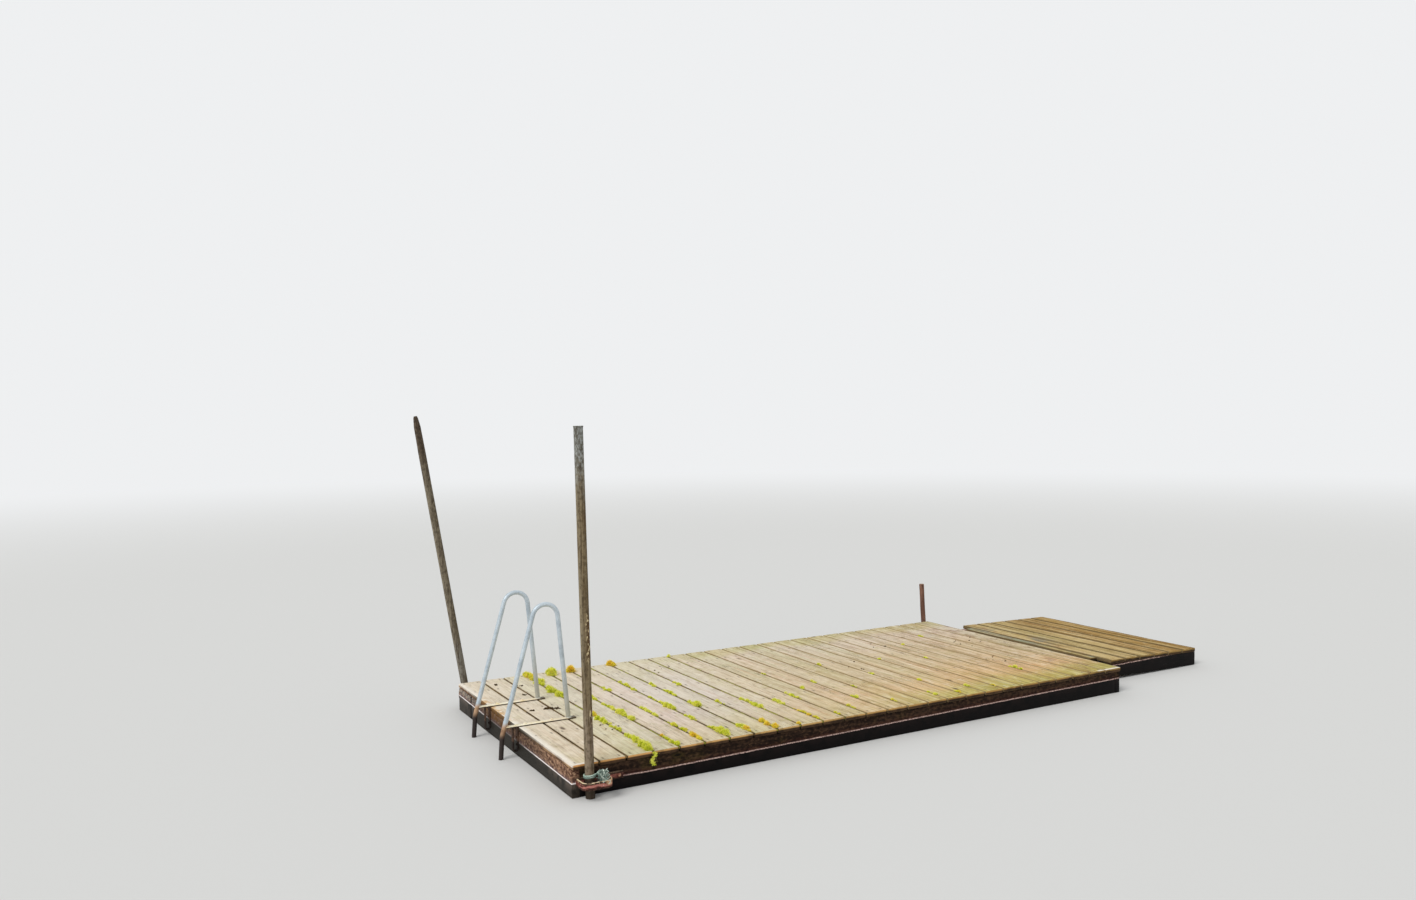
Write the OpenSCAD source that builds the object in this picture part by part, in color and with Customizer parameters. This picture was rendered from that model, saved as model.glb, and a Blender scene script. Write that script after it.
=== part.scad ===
// Wooden bathing jetty: a floating timber section with a boarded deck, a bathing
// ladder with hooped hand rails at the lake end, a steel and a wooden mooring pole
// in guides, and a narrower boarded landing section that slopes down to the bank.
// The origin is on the centreline, in the middle of the underside of the shore
// end beam. +X points to the bank, -Y is the near side, +Z is up.

/* [Deck boards] */
// Number of boards on the floating section
board_count = 26; // [22:1:32]
// Width of one board
board_w = 145; // [120:1:170]
// Thickness of one board
board_t = 28; // [21:1:40]
// Open gap between two boards
board_gap = 9; // [4:1:14]
// Chamfer along the edges of a board
board_chamfer = 3; // [1:0.5:6]
// Length of the longest deck board, across the jetty
deck_w = 1980; // [1880:10:2400]
// How far the board ends run past the side beams
board_overhang = 10; // [10:1:25]
// How much shorter than the longest one a board may be at each end
board_wander = 2; // [0:0.5:5]

/* [Frame] */
// Thickness of the beams and bearers
beam_t = 45; // [38:1:60]
// Depth of the beams and bearers
beam_h = 145; // [130:1:200]
// Distance from the last bearer to the far side beam, centre to centre
last_bay = 241; // [160:1:320]
// Open joint between the two pieces of the lake end beam
end_joint = 10; // [4:1:18]

/* [Floats] */
// Length of one float block
float_l = 1200; // [800:10:1500]
// Distance between the two rows of float blocks
float_spacing = 500; // [100:10:700]
// Chamfer along the lower edges of a float block
float_chamfer = 15; // [5:1:30]

/* [Ladder] */
// Distance between the two hand rails, centre to centre
ladder_w = 505; // [400:5:600]
// Distance of the first hand rail from the near side of the deck
ladder_y = 812; // [500:1:1100]
// Diameter of the rail tube
rail_d = 27; // [22:1:34]
// Bend radius of the hoop at the top, on the tube's centreline
hoop_r = 77; // [60:1:90]
// How far the outer leg stands out from the lake end, level with the deck
rail_out = 80; // [60:1:110]
// Distance of the inner leg's foot from the lake end
rail_foot = 308; // [280:1:360]
// Lean of the outer leg above the deck, in degrees
outer_lean = 16.2; // [12:0.1:20]
// Lean of the inner leg, in degrees
inner_lean = 5.3; // [3:0.1:8]
// Lean of the outer leg below its lower bend, in degrees
lower_lean = 4; // [0:0.5:8]
// Depth of the lower bend below the deck's top
lower_bend = 45; // [35:1:70]
// Bend radius of the lower bend, on the tube's centreline
lower_r = 90; // [60:1:140]
// Width of the flat bar that carries a rail
bar_w = 35; // [30:1:50]
// Thickness of the flat bar
bar_t = 8; // [5:0.5:12]
// How far the flat bar runs on behind the inner leg's centre
bar_tail = 42; // [25:1:80]
// Width of the hanger strap under a bar
strap_w = 30; // [20:1:34]
// Thickness of the hanger strap
strap_t = 6; // [4:0.5:8]
// Distance between the two legs of the hanger strap, outside to outside
strap_reach = 34; // [26:1:44]
// Length of the hanger strap below the deck's top
strap_l = 140; // [90:1:150]

/* [Mooring poles] */
// Diameter of a pole
pole_d = 48.3; // [40:0.1:60]
// Wall of the near pole, which is a pipe
pole_wall = 3.2; // [2:0.1:5]
// Height of the near pole's top above the deck
near_pole_h = 1700; // [800:10:2200]
// Height of the far pole's top above the deck
far_pole_h = 1790; // [800:10:2200]
// Lean of the near pole towards the lake, in degrees
near_pole_lean = 1; // [0:0.1:3]
// Lean of the far pole towards the lake, in degrees
far_pole_lean = 9.2; // [0:0.1:10]
// Distance of the near pole from the lake end, level with the deck
near_pole_x = 84; // [65:1:95]
// Distance of the far pole from the lake end, level with the deck
far_pole_x = 46; // [38:1:60]
// Thickness of the cap on the near pole
cap_t = 5; // [3:0.5:10]
// How far the cap stands out round the pole
cap_lip = 1.5; // [0.5:0.1:3]
// Diameter of the far pole's worn top
worn_top_d = 28; // [16:1:36]
// Diameter of the far pole where its worn top begins
worn_neck_d = 44; // [38:1:48]
// Length of the far pole's worn top
worn_l = 70; // [30:5:120]
// Length over which the far pole thins towards its worn top
thinning_l = 200; // [50:10:600]

/* [Pole guides] */
// Length of a guide's loop along the jetty, outside
guide_l = 165; // [156:1:200]
// How far the near guide's middle stands from its pole towards the bank
near_guide_shift = 20; // [0:1:45]
// How far the far guide's middle stands from its pole towards the bank
far_guide_shift = 42; // [20:1:42]
// How far a guide's loop stands out from the side beam
guide_reach = 112; // [95:1:140]
// Height of the guide's flat bar
guide_bar_h = 40; // [25:1:50]
// Thickness of the guide's flat bar
guide_bar_t = 6; // [4:0.5:8]
// Corner radius of the guide's loop, outside
guide_r = 40; // [20:1:45]
// How far the guide's back bar runs on towards the bank
guide_tail = 95; // [60:1:140]
// Depth of the guide's top below the deck's top
guide_drop = 72; // [65:1:90]
// Diameter of the rope lashed round the near pole
rope_d = 9; // [6:0.5:9]

/* [Landing section] */
// Number of boards on the landing section
landing_count = 6; // [4:1:10]
// How much narrower than the floating section it is, on each side
landing_inset = 230; // [140:5:235]
// How far the landing section is set over towards the far side
landing_shift = 30; // [-60:1:60]
// Slope of the landing section down to the bank, in degrees
landing_slope = 1.2; // [0.5:0.1:2]
// Distance from the floating section to the first landing board
landing_start = 208; // [190:1:260]
// Depth of the landing section's stringers
stringer_h = 100; // [85:1:110]
// Thickness of the landing section's stringers
stringer_t = 45; // [35:1:50]
// Distance of the outer stringers from the ends of the landing boards
stringer_inset = 5; // [0:1:60]
// Width of the narrow cover board at the seam
cover_w = 65; // [45:1:80]
// How much shorter than the landing boards the cover board is, at each end
cover_inset = 120; // [90:5:180]

/* [Shore stake] */
// Diameter of the wooden stake at the far shore corner
stake_d = 42; // [34:1:50]
// Height of the stake's top above the deck
stake_h = 315; // [150:5:500]
// Distance of the stake from the shore end of the deck
stake_x = 28; // [25:1:60]
// Lean of the stake towards the lake, in degrees
stake_lean = 3; // [0:0.5:6]
// Chamfer round the top of the stake
stake_chamfer = 5; // [2:1:10]

/* [Hidden] */

$fn = 48;
// Sides of the rail's tube
rail_sides = 24;
// Sides of the rope
rope_sides = 8;
// Running clearance between round pieces and what they stand against
clearance = 0.3;
// Length that reaches past any piece, for cutting
past = 6000;

// The floating section
board_pitch = board_w + board_gap;
deck_l = board_count * board_pitch - board_gap;
deck_z = beam_h + board_t;
shore_x = beam_t / 2;
lake_x = shore_x - deck_l;
near_y = -deck_w / 2;
far_y = deck_w / 2;
frame_near_y = near_y + board_overhang;
frame_far_y = far_y - board_overhang;
bearer_pitch = (frame_far_y - frame_near_y - beam_t - last_bay) / 3;
// Centre of bearer k, counted from the near side beam
function bearer_y(k) = frame_near_y + beam_t / 2 + k * bearer_pitch;
// How far board i is short of the longest one: nothing at the first and last boards
wander_turn = 7 * 360 / (board_count - 1);
function wander(i, turns) = board_wander * abs(sin(i * wander_turn * turns));

// The ladder's hoop touches both legs, which fixes its centre
hoop_z = (rail_out + rail_foot - hoop_r * (1 / cos(outer_lean) + 1 / cos(inner_lean)))
    / (tan(outer_lean) + tan(inner_lean));
hoop_x = -rail_out + hoop_z * tan(outer_lean) + hoop_r / cos(outer_lean);
// The lower bend's corner, and how far its arc runs along either leg
lower_x = -rail_out - lower_bend * tan(outer_lean);
lower_turn = outer_lean - lower_lean;
lower_tangent = lower_r * tan(lower_turn / 2);

// Round pieces stand this far outside the longest boards
near_pole_y = near_y - clearance - pole_d / 2;
far_pole_y = far_y + clearance + pole_d / 2;
stake_y = far_y + clearance + stake_d / 2;

// Middle of a guide from the lake end, for a pole at x with this lean
function guide_x(x, lean, shift) = x + (guide_drop + guide_bar_h / 2) * tan(lean) + shift;

// The rope's route, from the pole's axis and the first turn: tail, turns and tail
rope_start = [[72, 12, 10], [56, 19, 3], [40, 22, 1], [26, 26, 0]];
wrap_start = 75;
wrap_end = 660;
rope_end = [[30, -16, 16], [44, -6, 18], [58, 0, 20], [68, -2, 24]];

landing_w = deck_w - 2 * landing_inset;
stringer_pitch = (landing_w - 2 * stringer_inset - stringer_t) / 3;
// The landing section is drawn level and then turned about its seam
landing_t = board_t + stringer_h;
landing_l = landing_start + landing_count * board_pitch - board_gap;
landing_z = landing_l * sin(landing_slope) + landing_t * cos(landing_slope);

wood_top = [0.74, 0.70, 0.58];
wood_wet = [0.30, 0.20, 0.15];
foam = [0.86, 0.87, 0.85];
galvanised = [0.62, 0.66, 0.68];
bar_cream = [0.70, 0.64, 0.50];
rusty = [0.55, 0.32, 0.20];
pole_grey = [0.45, 0.44, 0.40];
pole_dark = [0.33, 0.30, 0.27];
rope_green = [0.42, 0.50, 0.45];
stake_brown = [0.50, 0.35, 0.29];

// A board across the jetty: top at z = 0, lake edge at x = 0, centred on y = 0
module board(length, width = board_w) {
    c = board_chamfer;
    rotate([90, 0, 0]) linear_extrude(length, center = true)
        polygon([[c, 0], [width - c, 0], [width, -c], [width, -board_t + c],
            [width - c, -board_t], [c, -board_t], [0, -board_t + c], [0, -c]]);
}

// Boards first to last of the floating section
module deck_boards(first, last) {
    for (i = [first : last]) {
        short_near = wander(i, 1);
        short_far = wander(i, 2);
        translate([lake_x + i * board_pitch, (short_near - short_far) / 2, deck_z])
            board(deck_w - short_near - short_far);
    }
}

// A beam along the jetty between the two end beams, centred on y
module long_beam(y) {
    translate([lake_x + beam_t, y - beam_t / 2, 0])
        cube([deck_l - 2 * beam_t, beam_t, beam_h]);
}

// An end beam across the jetty, from y = from to y = to, with its lake face at x
module cross_beam(x, from, to) {
    translate([x, from, 0]) cube([beam_t, to - from, beam_h]);
}

// A float block wedged between bearers k - 1 and k, in the row at the lake (-1) or shore (1)
module float_block(k, row) {
    w = bearer_pitch - beam_t;
    c = float_chamfer;
    middle_x = lake_x + deck_l / 2 + row * (float_spacing + float_l) / 2;
    translate([middle_x, bearer_y(k) - bearer_pitch / 2, 0])
        rotate([90, 0, 90]) linear_extrude(float_l, center = true)
            polygon([[-w / 2 + c, 0], [w / 2 - c, 0], [w / 2, c], [w / 2, beam_h],
                [-w / 2, beam_h], [-w / 2, c]]);
}

// The ladder is drawn from where the lake end meets the deck's top, rail in the plane y = 0
module at_rail(side) {
    translate([lake_x, near_y + ladder_y + side * ladder_w, deck_z]) children();
}

// A straight bar of length l that starts at [x, z] and leans by angle towards +X
module leg(x, z, angle, l, d) {
    translate([x, 0, z]) rotate([0, angle, 0]) cylinder(d = d, h = l);
}

// One ring of the rail's tube, centred on [x, z], with [nx, nz] its radius in the plane X-Z
function rail_ring(x, z, nx, nz) = [
    for (i = [0 : rail_sides - 1]) let (turn = i * 360 / rail_sides)
        [x + nx * cos(turn), rail_d / 2 * sin(turn), z + nz * cos(turn)]
];

// The rings of an arc of radius r round [x, z], from angle start to angle end
function arc_rings(x, z, r, start, end, steps) = [
    for (i = [0 : steps]) let (a = start + (end - start) * i / steps)
        rail_ring(x + r * cos(a), z + r * sin(a), rail_d / 2 * cos(a), rail_d / 2 * sin(a))
];

// Joins rings of points, in their order, into one closed solid
module skin(rings) {
    n = len(rings[0]);
    last = (len(rings) - 1) * n;
    polyhedron(
        points = [for (ring = rings) each ring],
        faces = [
            [for (i = [0 : n - 1]) i],
            for (k = [0 : n : last - n], i = [0 : n - 1]) let (j = (i + 1) % n)
                [k + i, k + n + i, k + n + j, k + j],
            [for (i = [n - 1 : -1 : 0]) last + i]
        ]
    );
}

// A hooped hand rail swept from its foot on the bar, over the hoop and down to the base
module ladder_rail(side) {
    base_x = lower_x - (deck_z - lower_bend) * tan(lower_lean);
    at_rail(side) skin([
        rail_ring(rail_foot - bar_t * tan(inner_lean), bar_t, rail_d / 2 / cos(inner_lean), 0),
        each arc_rings(hoop_x, hoop_z, hoop_r, inner_lean, 180 - outer_lean, 26),
        each arc_rings(lower_x + lower_tangent * sin(outer_lean) + lower_r * cos(outer_lean),
            -lower_bend + lower_tangent * cos(outer_lean) - lower_r * sin(outer_lean),
            lower_r, 180 - outer_lean, 180 - lower_lean, 4),
        rail_ring(base_x, -deck_z, -rail_d / 2 / cos(lower_lean), 0)
    ]);
}

// The flat bar under a rail, notched to fit the outer leg
module ladder_bar(side) {
    start = -rail_out + rail_d / 4;
    at_rail(side) difference() {
        translate([start, -bar_w / 2, 0]) cube([rail_foot + bar_tail - start, bar_w, bar_t]);
        leg(-rail_out - rail_d * tan(outer_lean), -rail_d, outer_lean, 3 * rail_d,
            rail_d + 2 * clearance);
    }
}

// The strap that hangs from a bar down the lake end, bent back up at its foot
module ladder_hanger(side) {
    r = strap_reach / 2;
    at_rail(side) rotate([90, 0, 0]) linear_extrude(strap_w, center = true) {
        translate([-strap_t, -strap_l + r]) square([strap_t, strap_l - r]);
        translate([-strap_reach, -strap_l + r]) square([strap_t, strap_l - r]);
        translate([-r, -strap_l + r]) difference() {
            circle(r);
            circle(r - strap_t);
            translate([-strap_reach, 0]) square([2 * strap_reach, strap_reach]);
        }
    }
}

// What lies below the base
module below_base() {
    translate([-past, -past, -past]) cube([2 * past, 2 * past, past]);
}

// Places what follows on a pole's axis: its middle at the deck's level, its length along +Z
module on_pole(x, y, lean) {
    translate([lake_x + x, y, deck_z]) rotate([0, -lean, 0]) children();
}

// The near pole, a steel pipe open below and cut level at the base
module mooring_pole_near() {
    difference() {
        on_pole(near_pole_x, near_pole_y, near_pole_lean) translate([0, 0, -deck_z - pole_d])
            rotate_extrude() translate([pole_d / 2 - pole_wall, 0])
                square([pole_wall, deck_z + pole_d + near_pole_h]);
        below_base();
    }
}

// The cap that closes the near pole's top
module pole_cap_near() {
    on_pole(near_pole_x, near_pole_y, near_pole_lean) translate([0, 0, near_pole_h])
        cylinder(d = pole_d + 2 * cap_lip, h = cap_t);
}

// The far pole, of wood, thinner towards its worn top and cut level at the base
module mooring_pole_far() {
    low = -deck_z - pole_d;
    neck = far_pole_h - worn_l;
    difference() {
        on_pole(far_pole_x, far_pole_y, far_pole_lean) rotate_extrude()
            polygon([[0, low], [pole_d / 2, low], [pole_d / 2, neck - thinning_l],
                [worn_neck_d / 2, neck], [worn_top_d / 2, far_pole_h], [0, far_pole_h]]);
        below_base();
    }
}

// Outline of a loop along +X with its two outer corners rounded: l long, reaching to -reach
module loop_outline(l, reach, r) {
    translate([-l / 2, -reach + r]) square([l, reach - r]);
    translate([-l / 2 + r, -reach]) square([l - 2 * r, reach]);
    for (s = [-1, 1]) translate([s * (l / 2 - r), -reach + r]) circle(r);
}

// A flat-bar loop round a pole, on a back bar against the near side beam
module pole_guide(x) {
    t = guide_bar_t;
    translate([lake_x + x, frame_near_y, deck_z - guide_drop - guide_bar_h])
        linear_extrude(guide_bar_h) difference() {
            union() {
                loop_outline(guide_l, guide_reach, guide_r);
                translate([0, -t]) square([guide_l / 2 + guide_tail, t]);
            }
            translate([0, -t]) loop_outline(guide_l - 2 * t, guide_reach - 2 * t, guide_r - t);
        }
}

function unit(v) = v / norm(v);

// Heading of the route p at its point i
function heading(p, i) = unit(p[min(i + 1, len(p) - 1)] - p[max(i - 1, 0)]);

// A sideways direction at each point of the route p, carried along from side without twist
function sideways(p, side, i = 0) =
    let (h = heading(p, i), s = unit(side - (side * h) * h))
    i == len(p) - 1 ? [s] : concat([s], sideways(p, s, i + 1));

// The rings of a round rope of diameter d along the route p
function rope_rings(p, d) =
    let (side = sideways(p, [0, 0, 1]))
    [for (i = [0 : len(p) - 1]) let (u = side[i], v = cross(heading(p, i), u))
        [for (k = [0 : rope_sides - 1]) let (turn = k * 360 / rope_sides)
            p[i] + d / 2 * (u * cos(turn) + v * sin(turn))]];

// Rope lashed round the near pole at its guide, with two short tails
module rope_lashing() {
    ring_r = (pole_d + rope_d) / 2 + clearance;
    rise = rope_d + clearance;
    on_pole(near_pole_x, near_pole_y, near_pole_lean)
        translate([0, 0, rope_d / 2 + 2 * clearance - guide_drop])
            skin(rope_rings([
                each rope_start,
                for (a = [wrap_start : 15 : wrap_end])
                    [ring_r * cos(a), ring_r * sin(a), rise * (a - wrap_start) / 360],
                each rope_end
            ], rope_d));
}

// The wooden stake at the far shore corner, cut level at the base
module shore_stake() {
    r = stake_d / 2;
    low = -deck_z - stake_d;
    difference() {
        translate([shore_x - stake_x, stake_y, deck_z]) rotate([0, -stake_lean, 0])
            rotate_extrude() polygon([[0, low], [r, low], [r, stake_h - stake_chamfer],
                [r - stake_chamfer, stake_h], [0, stake_h]]);
        below_base();
    }
}

// Turns what follows down the landing section's slope: seam at x = 0, deck at z = 0
module on_landing() {
    translate([shore_x, landing_shift, landing_z]) rotate([0, landing_slope, 0]) children();
}

// Stringer k of the landing section, cut plumb where it meets the shore end beam
module landing_stringer(k) {
    difference() {
        on_landing() translate([-beam_t, (k - 1.5) * stringer_pitch - stringer_t / 2, -landing_t])
            cube([landing_l + beam_t, stringer_t, stringer_h]);
        translate([shore_x - past, -past, -past]) cube([past, 2 * past, 2 * past]);
    }
}

module landing_boards() {
    on_landing() for (i = [0 : landing_count - 1])
        translate([landing_start + i * board_pitch, wander(i, 1), 0])
            board(landing_w - wander(i, 2));
}

module seam_cover_board() {
    on_landing() translate([landing_start - board_gap - cover_w, 0, 0])
        board(landing_w - 2 * cover_inset, cover_w);
}

color(wood_wet) long_beam(bearer_y(0));  // side_beam_near
color(wood_wet) long_beam(frame_far_y - beam_t / 2);  // side_beam_far
color(wood_wet)  // lake_end_beam
    cross_beam(lake_x, frame_near_y, bearer_y(3) - end_joint / 2);
color(wood_wet)  // lake_end_stub
    cross_beam(lake_x, bearer_y(3) + end_joint / 2, frame_far_y);
color(wood_wet)  // shore_end_beam
    cross_beam(shore_x - beam_t, frame_near_y, frame_far_y);
color(wood_wet) long_beam(bearer_y(1));  // bearer_near
color(wood_wet) long_beam(bearer_y(2));  // bearer_mid
color(wood_wet) long_beam(bearer_y(3));  // bearer_far
color(foam) float_block(1, -1);  // float_lake_near
color(foam) float_block(2, -1);  // float_lake_mid
color(foam) float_block(3, -1);  // float_lake_far
color(foam) float_block(1, 1);  // float_shore_near
color(foam) float_block(2, 1);  // float_shore_mid
color(foam) float_block(3, 1);  // float_shore_far
color(wood_top)  // deck_boards_lake
    deck_boards(0, floor(board_count / 4) - 1);
color(wood_top)  // deck_boards_lake_mid
    deck_boards(floor(board_count / 4), floor(board_count / 2) - 1);
color(wood_top)  // deck_boards_shore_mid
    deck_boards(floor(board_count / 2), floor(board_count * 3 / 4) - 1);
color(wood_top)  // deck_boards_shore
    deck_boards(floor(board_count * 3 / 4), board_count - 1);
color(galvanised) ladder_rail(0);  // ladder_rail_near
color(galvanised) ladder_rail(1);  // ladder_rail_far
color(bar_cream) ladder_bar(0);  // ladder_bar_near
color(bar_cream) ladder_bar(1);  // ladder_bar_far
color(rusty) ladder_hanger(0);  // ladder_hanger_near
color(rusty) ladder_hanger(1);  // ladder_hanger_far
color(pole_grey) mooring_pole_near();
color(pole_dark) mooring_pole_far();
color(galvanised) pole_cap_near();
color(rusty)  // pole_guide_near
    pole_guide(guide_x(near_pole_x, near_pole_lean, near_guide_shift));
color(rusty) mirror([0, 1, 0])  // pole_guide_far
    pole_guide(guide_x(far_pole_x, far_pole_lean, far_guide_shift));
color(rope_green) rope_lashing();
color(stake_brown) shore_stake();
color(wood_wet) landing_stringer(0);  // landing_stringer_near
color(wood_wet) landing_stringer(1);  // landing_stringer_mid_near
color(wood_wet) landing_stringer(2);  // landing_stringer_mid_far
color(wood_wet) landing_stringer(3);  // landing_stringer_far
color(wood_top) landing_boards();
color(wood_top) seam_cover_board();
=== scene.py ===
import math
import bpy
import numpy as np
from mathutils import Matrix


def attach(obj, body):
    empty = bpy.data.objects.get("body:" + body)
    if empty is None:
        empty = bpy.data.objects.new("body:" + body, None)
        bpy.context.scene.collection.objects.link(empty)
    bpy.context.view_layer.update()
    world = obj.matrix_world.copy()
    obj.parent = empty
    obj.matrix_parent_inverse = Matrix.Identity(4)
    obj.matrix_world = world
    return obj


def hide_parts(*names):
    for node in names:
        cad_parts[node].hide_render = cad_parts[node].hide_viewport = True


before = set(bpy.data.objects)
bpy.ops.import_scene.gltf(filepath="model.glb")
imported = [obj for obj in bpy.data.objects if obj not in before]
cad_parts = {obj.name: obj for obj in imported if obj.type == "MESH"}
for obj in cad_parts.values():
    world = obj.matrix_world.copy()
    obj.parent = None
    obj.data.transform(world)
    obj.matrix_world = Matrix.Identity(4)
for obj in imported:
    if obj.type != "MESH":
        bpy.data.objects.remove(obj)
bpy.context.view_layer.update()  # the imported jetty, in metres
print("frame loaded,", len(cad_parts), "parts")

# The jetty's main lines: +X to its shore end, -Y the near side, +Z up
layout = {
    "lakeX": -3.9725, "shoreX": 0.0225, "nearY": -0.99, "farY": 0.99, "deckZ": 0.173,
    "frameNear": -0.98, "frameFar": 0.98, "beamThick": 0.045, "beamHigh": 0.145,
    "bearerPitch": 0.558, "boardCount": 26, "boardPitch": 0.154, "boardWidth": 0.145,
    "boardThick": 0.028, "screwInset": 0.0275, "endJoint": 0.010,
    # The tide mark's height at the lake end, and its rise to the shore end and to the far side
    "tideZ": 0.0735, "tideRise": 0.0085, "tideAcross": 0.0125,
}
lakeX, shoreX, deckZ = layout["lakeX"], layout["shoreX"], layout["deckZ"]
nearY, farY, thick = layout["nearY"], layout["farY"], layout["beamThick"]
frameNear, frameFar = layout["frameNear"], layout["frameFar"]
pitch, boardWidth, boardThick = layout["boardPitch"], layout["boardWidth"], layout["boardThick"]
bearerY = [frameNear + thick / 2 + k * layout["bearerPitch"] for k in range(4)]
bearerY.append(frameFar - thick / 2)


def axesMatrix(side, up, back, origin=(0, 0, 0)):
    # Its columns are an object's own X, Y and Z directions and its origin
    turned = np.eye(4)
    turned[:3] = np.stack([side, up, back, origin], 1)
    return Matrix(turned.tolist())


def unit(vectors):
    # Each vector divided by its length
    return vectors / np.linalg.norm(vectors, axis=-1, keepdims=True)


def makeCamera(eye, right, up, lens):
    right = unit(np.array(right))
    up = unit(np.array(up) - right * (right @ up))
    data = bpy.data.cameras.new("jettyCamera")
    data.sensor_width, data.lens = 36.0, lens
    data.clip_start, data.clip_end = 0.05, 400
    camera = bpy.data.objects.new("jettyCamera", data)
    camera.matrix_world = axesMatrix(right, up, np.cross(right, up), eye)
    bpy.context.scene.collection.objects.link(camera)
    bpy.context.scene.camera = camera


makeCamera((-6.0035, -6.081, 1.922), (0.87324, -0.48711, -0.01324),
           (0.02708, 0.02138, 0.99940), 27.79)


# Shader values

class Value:
    # One output of a node; Python's operators on it add Math nodes
    def __init__(self, finish, socket):
        self.finish, self.socket = finish, socket

    def maths(self, operation, *terms):
        return self.finish.node("Math", {"operation": operation}, dict(enumerate(terms)))

    def __add__(self, other):
        return self.maths("ADD", self, other)

    def __sub__(self, other):
        return self.maths("SUBTRACT", self, other)

    def __rsub__(self, other):
        return self.maths("SUBTRACT", other, self)

    def __mul__(self, other):
        return self.maths("MULTIPLY", self, other)

    def __truediv__(self, other):
        return self.maths("DIVIDE", self, other)

    def __pow__(self, other):
        return self.maths("POWER", self, other)

    def __abs__(self):
        return self.maths("ABSOLUTE", self)

    __radd__, __rmul__ = __add__, __mul__

    def sine(self):
        return self.maths("SINE", self)

    def least(self, other):
        return self.maths("MINIMUM", self, other)

    def most(self, other):
        return self.maths("MAXIMUM", self, other)

    def fold(self, width):  # how far it is from the nearest even multiple of the width
        return self.maths("PINGPONG", self, width)

    def between(self, low, high):  # 0 at low, 1 at high, with a smooth step between
        return self.finish.node("MapRange", {"interpolation_type": "SMOOTHSTEP"},
                                {"Value": self, "From Min": low, "From Max": high})


class Finish:
    # A material whose nodes are made by Python expressions
    def __init__(self, name, **constants):
        self.material = bpy.data.materials.new(name)
        self.material.use_nodes = True
        self.tree = self.material.node_tree
        self.shader = self.tree.nodes["Principled BSDF"]
        for label, number in constants.items():
            self.set(label, number)

    def set(self, label, value):
        self.fill(self.shader.inputs[label.replace("_", " ")], value)

    def fill(self, socket, value):
        if isinstance(value, Value):
            self.tree.links.new(value.socket, socket)
        elif socket.type == "RGBA":
            socket.default_value = (*value[:3], 1)
        else:
            socket.default_value = value

    def node(self, kind, settings, inputs, output=0):
        made = self.tree.nodes.new("ShaderNode" + kind)
        for key, value in settings.items():
            if key == "stops":
                setStops(made.color_ramp.elements, value)
            else:
                setattr(made, key, value)
        for key, value in inputs.items():
            self.fill(made.inputs[key], value)
        return Value(self, made.outputs[output])

    def spot(self):
        return self.node("TexCoord", {}, {}, "Object")

    def attribute(self, name):
        return self.node("Attribute", {"attribute_name": name}, {}, "Vector")

    def split(self, vector):
        made = self.node("SeparateXYZ", {}, {0: vector}).socket.node
        return [Value(self, out) for out in made.outputs]

    def stretch(self, vector, factors):
        return self.node("VectorMath", {"operation": "MULTIPLY"}, {0: vector, 1: factors})

    def facing(self):
        return self.split(self.node("NewGeometry", {}, {}, "Normal"))

    def noise(self, vector, scale, detail=3.0, roughness=0.5):
        return self.node("TexNoise", {}, {"Vector": vector, "Scale": scale, "Detail": detail,
                                          "Roughness": roughness})

    def drawn(self, vector, scales, detail=3.0, roughness=0.5):  # noise drawn out along an axis
        return self.noise(self.stretch(vector, scales), 1.0, detail, roughness)

    def cells(self, vector, scale, feature="F1", output="Distance"):
        return self.node("TexVoronoi", {"feature": feature}, {"Vector": vector, "Scale": scale},
                         output)

    def ramp(self, factor, *stops):
        return self.node("ValToRGB", {"stops": stops}, {0: factor})

    def mix(self, factor, under, over, blend="MIX"):
        return self.node("Mix", {"data_type": "RGBA", "blend_type": blend},
                         {0: factor, 6: under, 7: over}, 2)

    def coats(self, base, *coats):  # each coat: how much of it, its colour, its blend if not MIX
        for factor, colour, *blend in coats:
            base = self.mix(factor, base, colour, *blend)
        return base

    def bump(self, height, distance, strength=1.0):
        self.set("Normal", self.node("Bump", {}, {"Strength": strength, "Distance": distance,
                                                  "Height": height}))


def setStops(elements, stops):
    while len(elements) > 1:
        elements.remove(elements[-1])
    elements[0].position, elements[0].color = stops[0][0], (*stops[0][1], 1)
    for place, colour in stops[1:]:
        elements.new(place).color = (*colour, 1)


def paint(red, green, blue):
    # A screen colour, 0 to 255, as the linear light that Blender works in
    levels = np.array([red, green, blue]) / 255
    return tuple(np.where(levels < 0.04045, levels / 12.92, ((levels + 0.055) / 1.055) ** 2.4))


# Shapes

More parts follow.
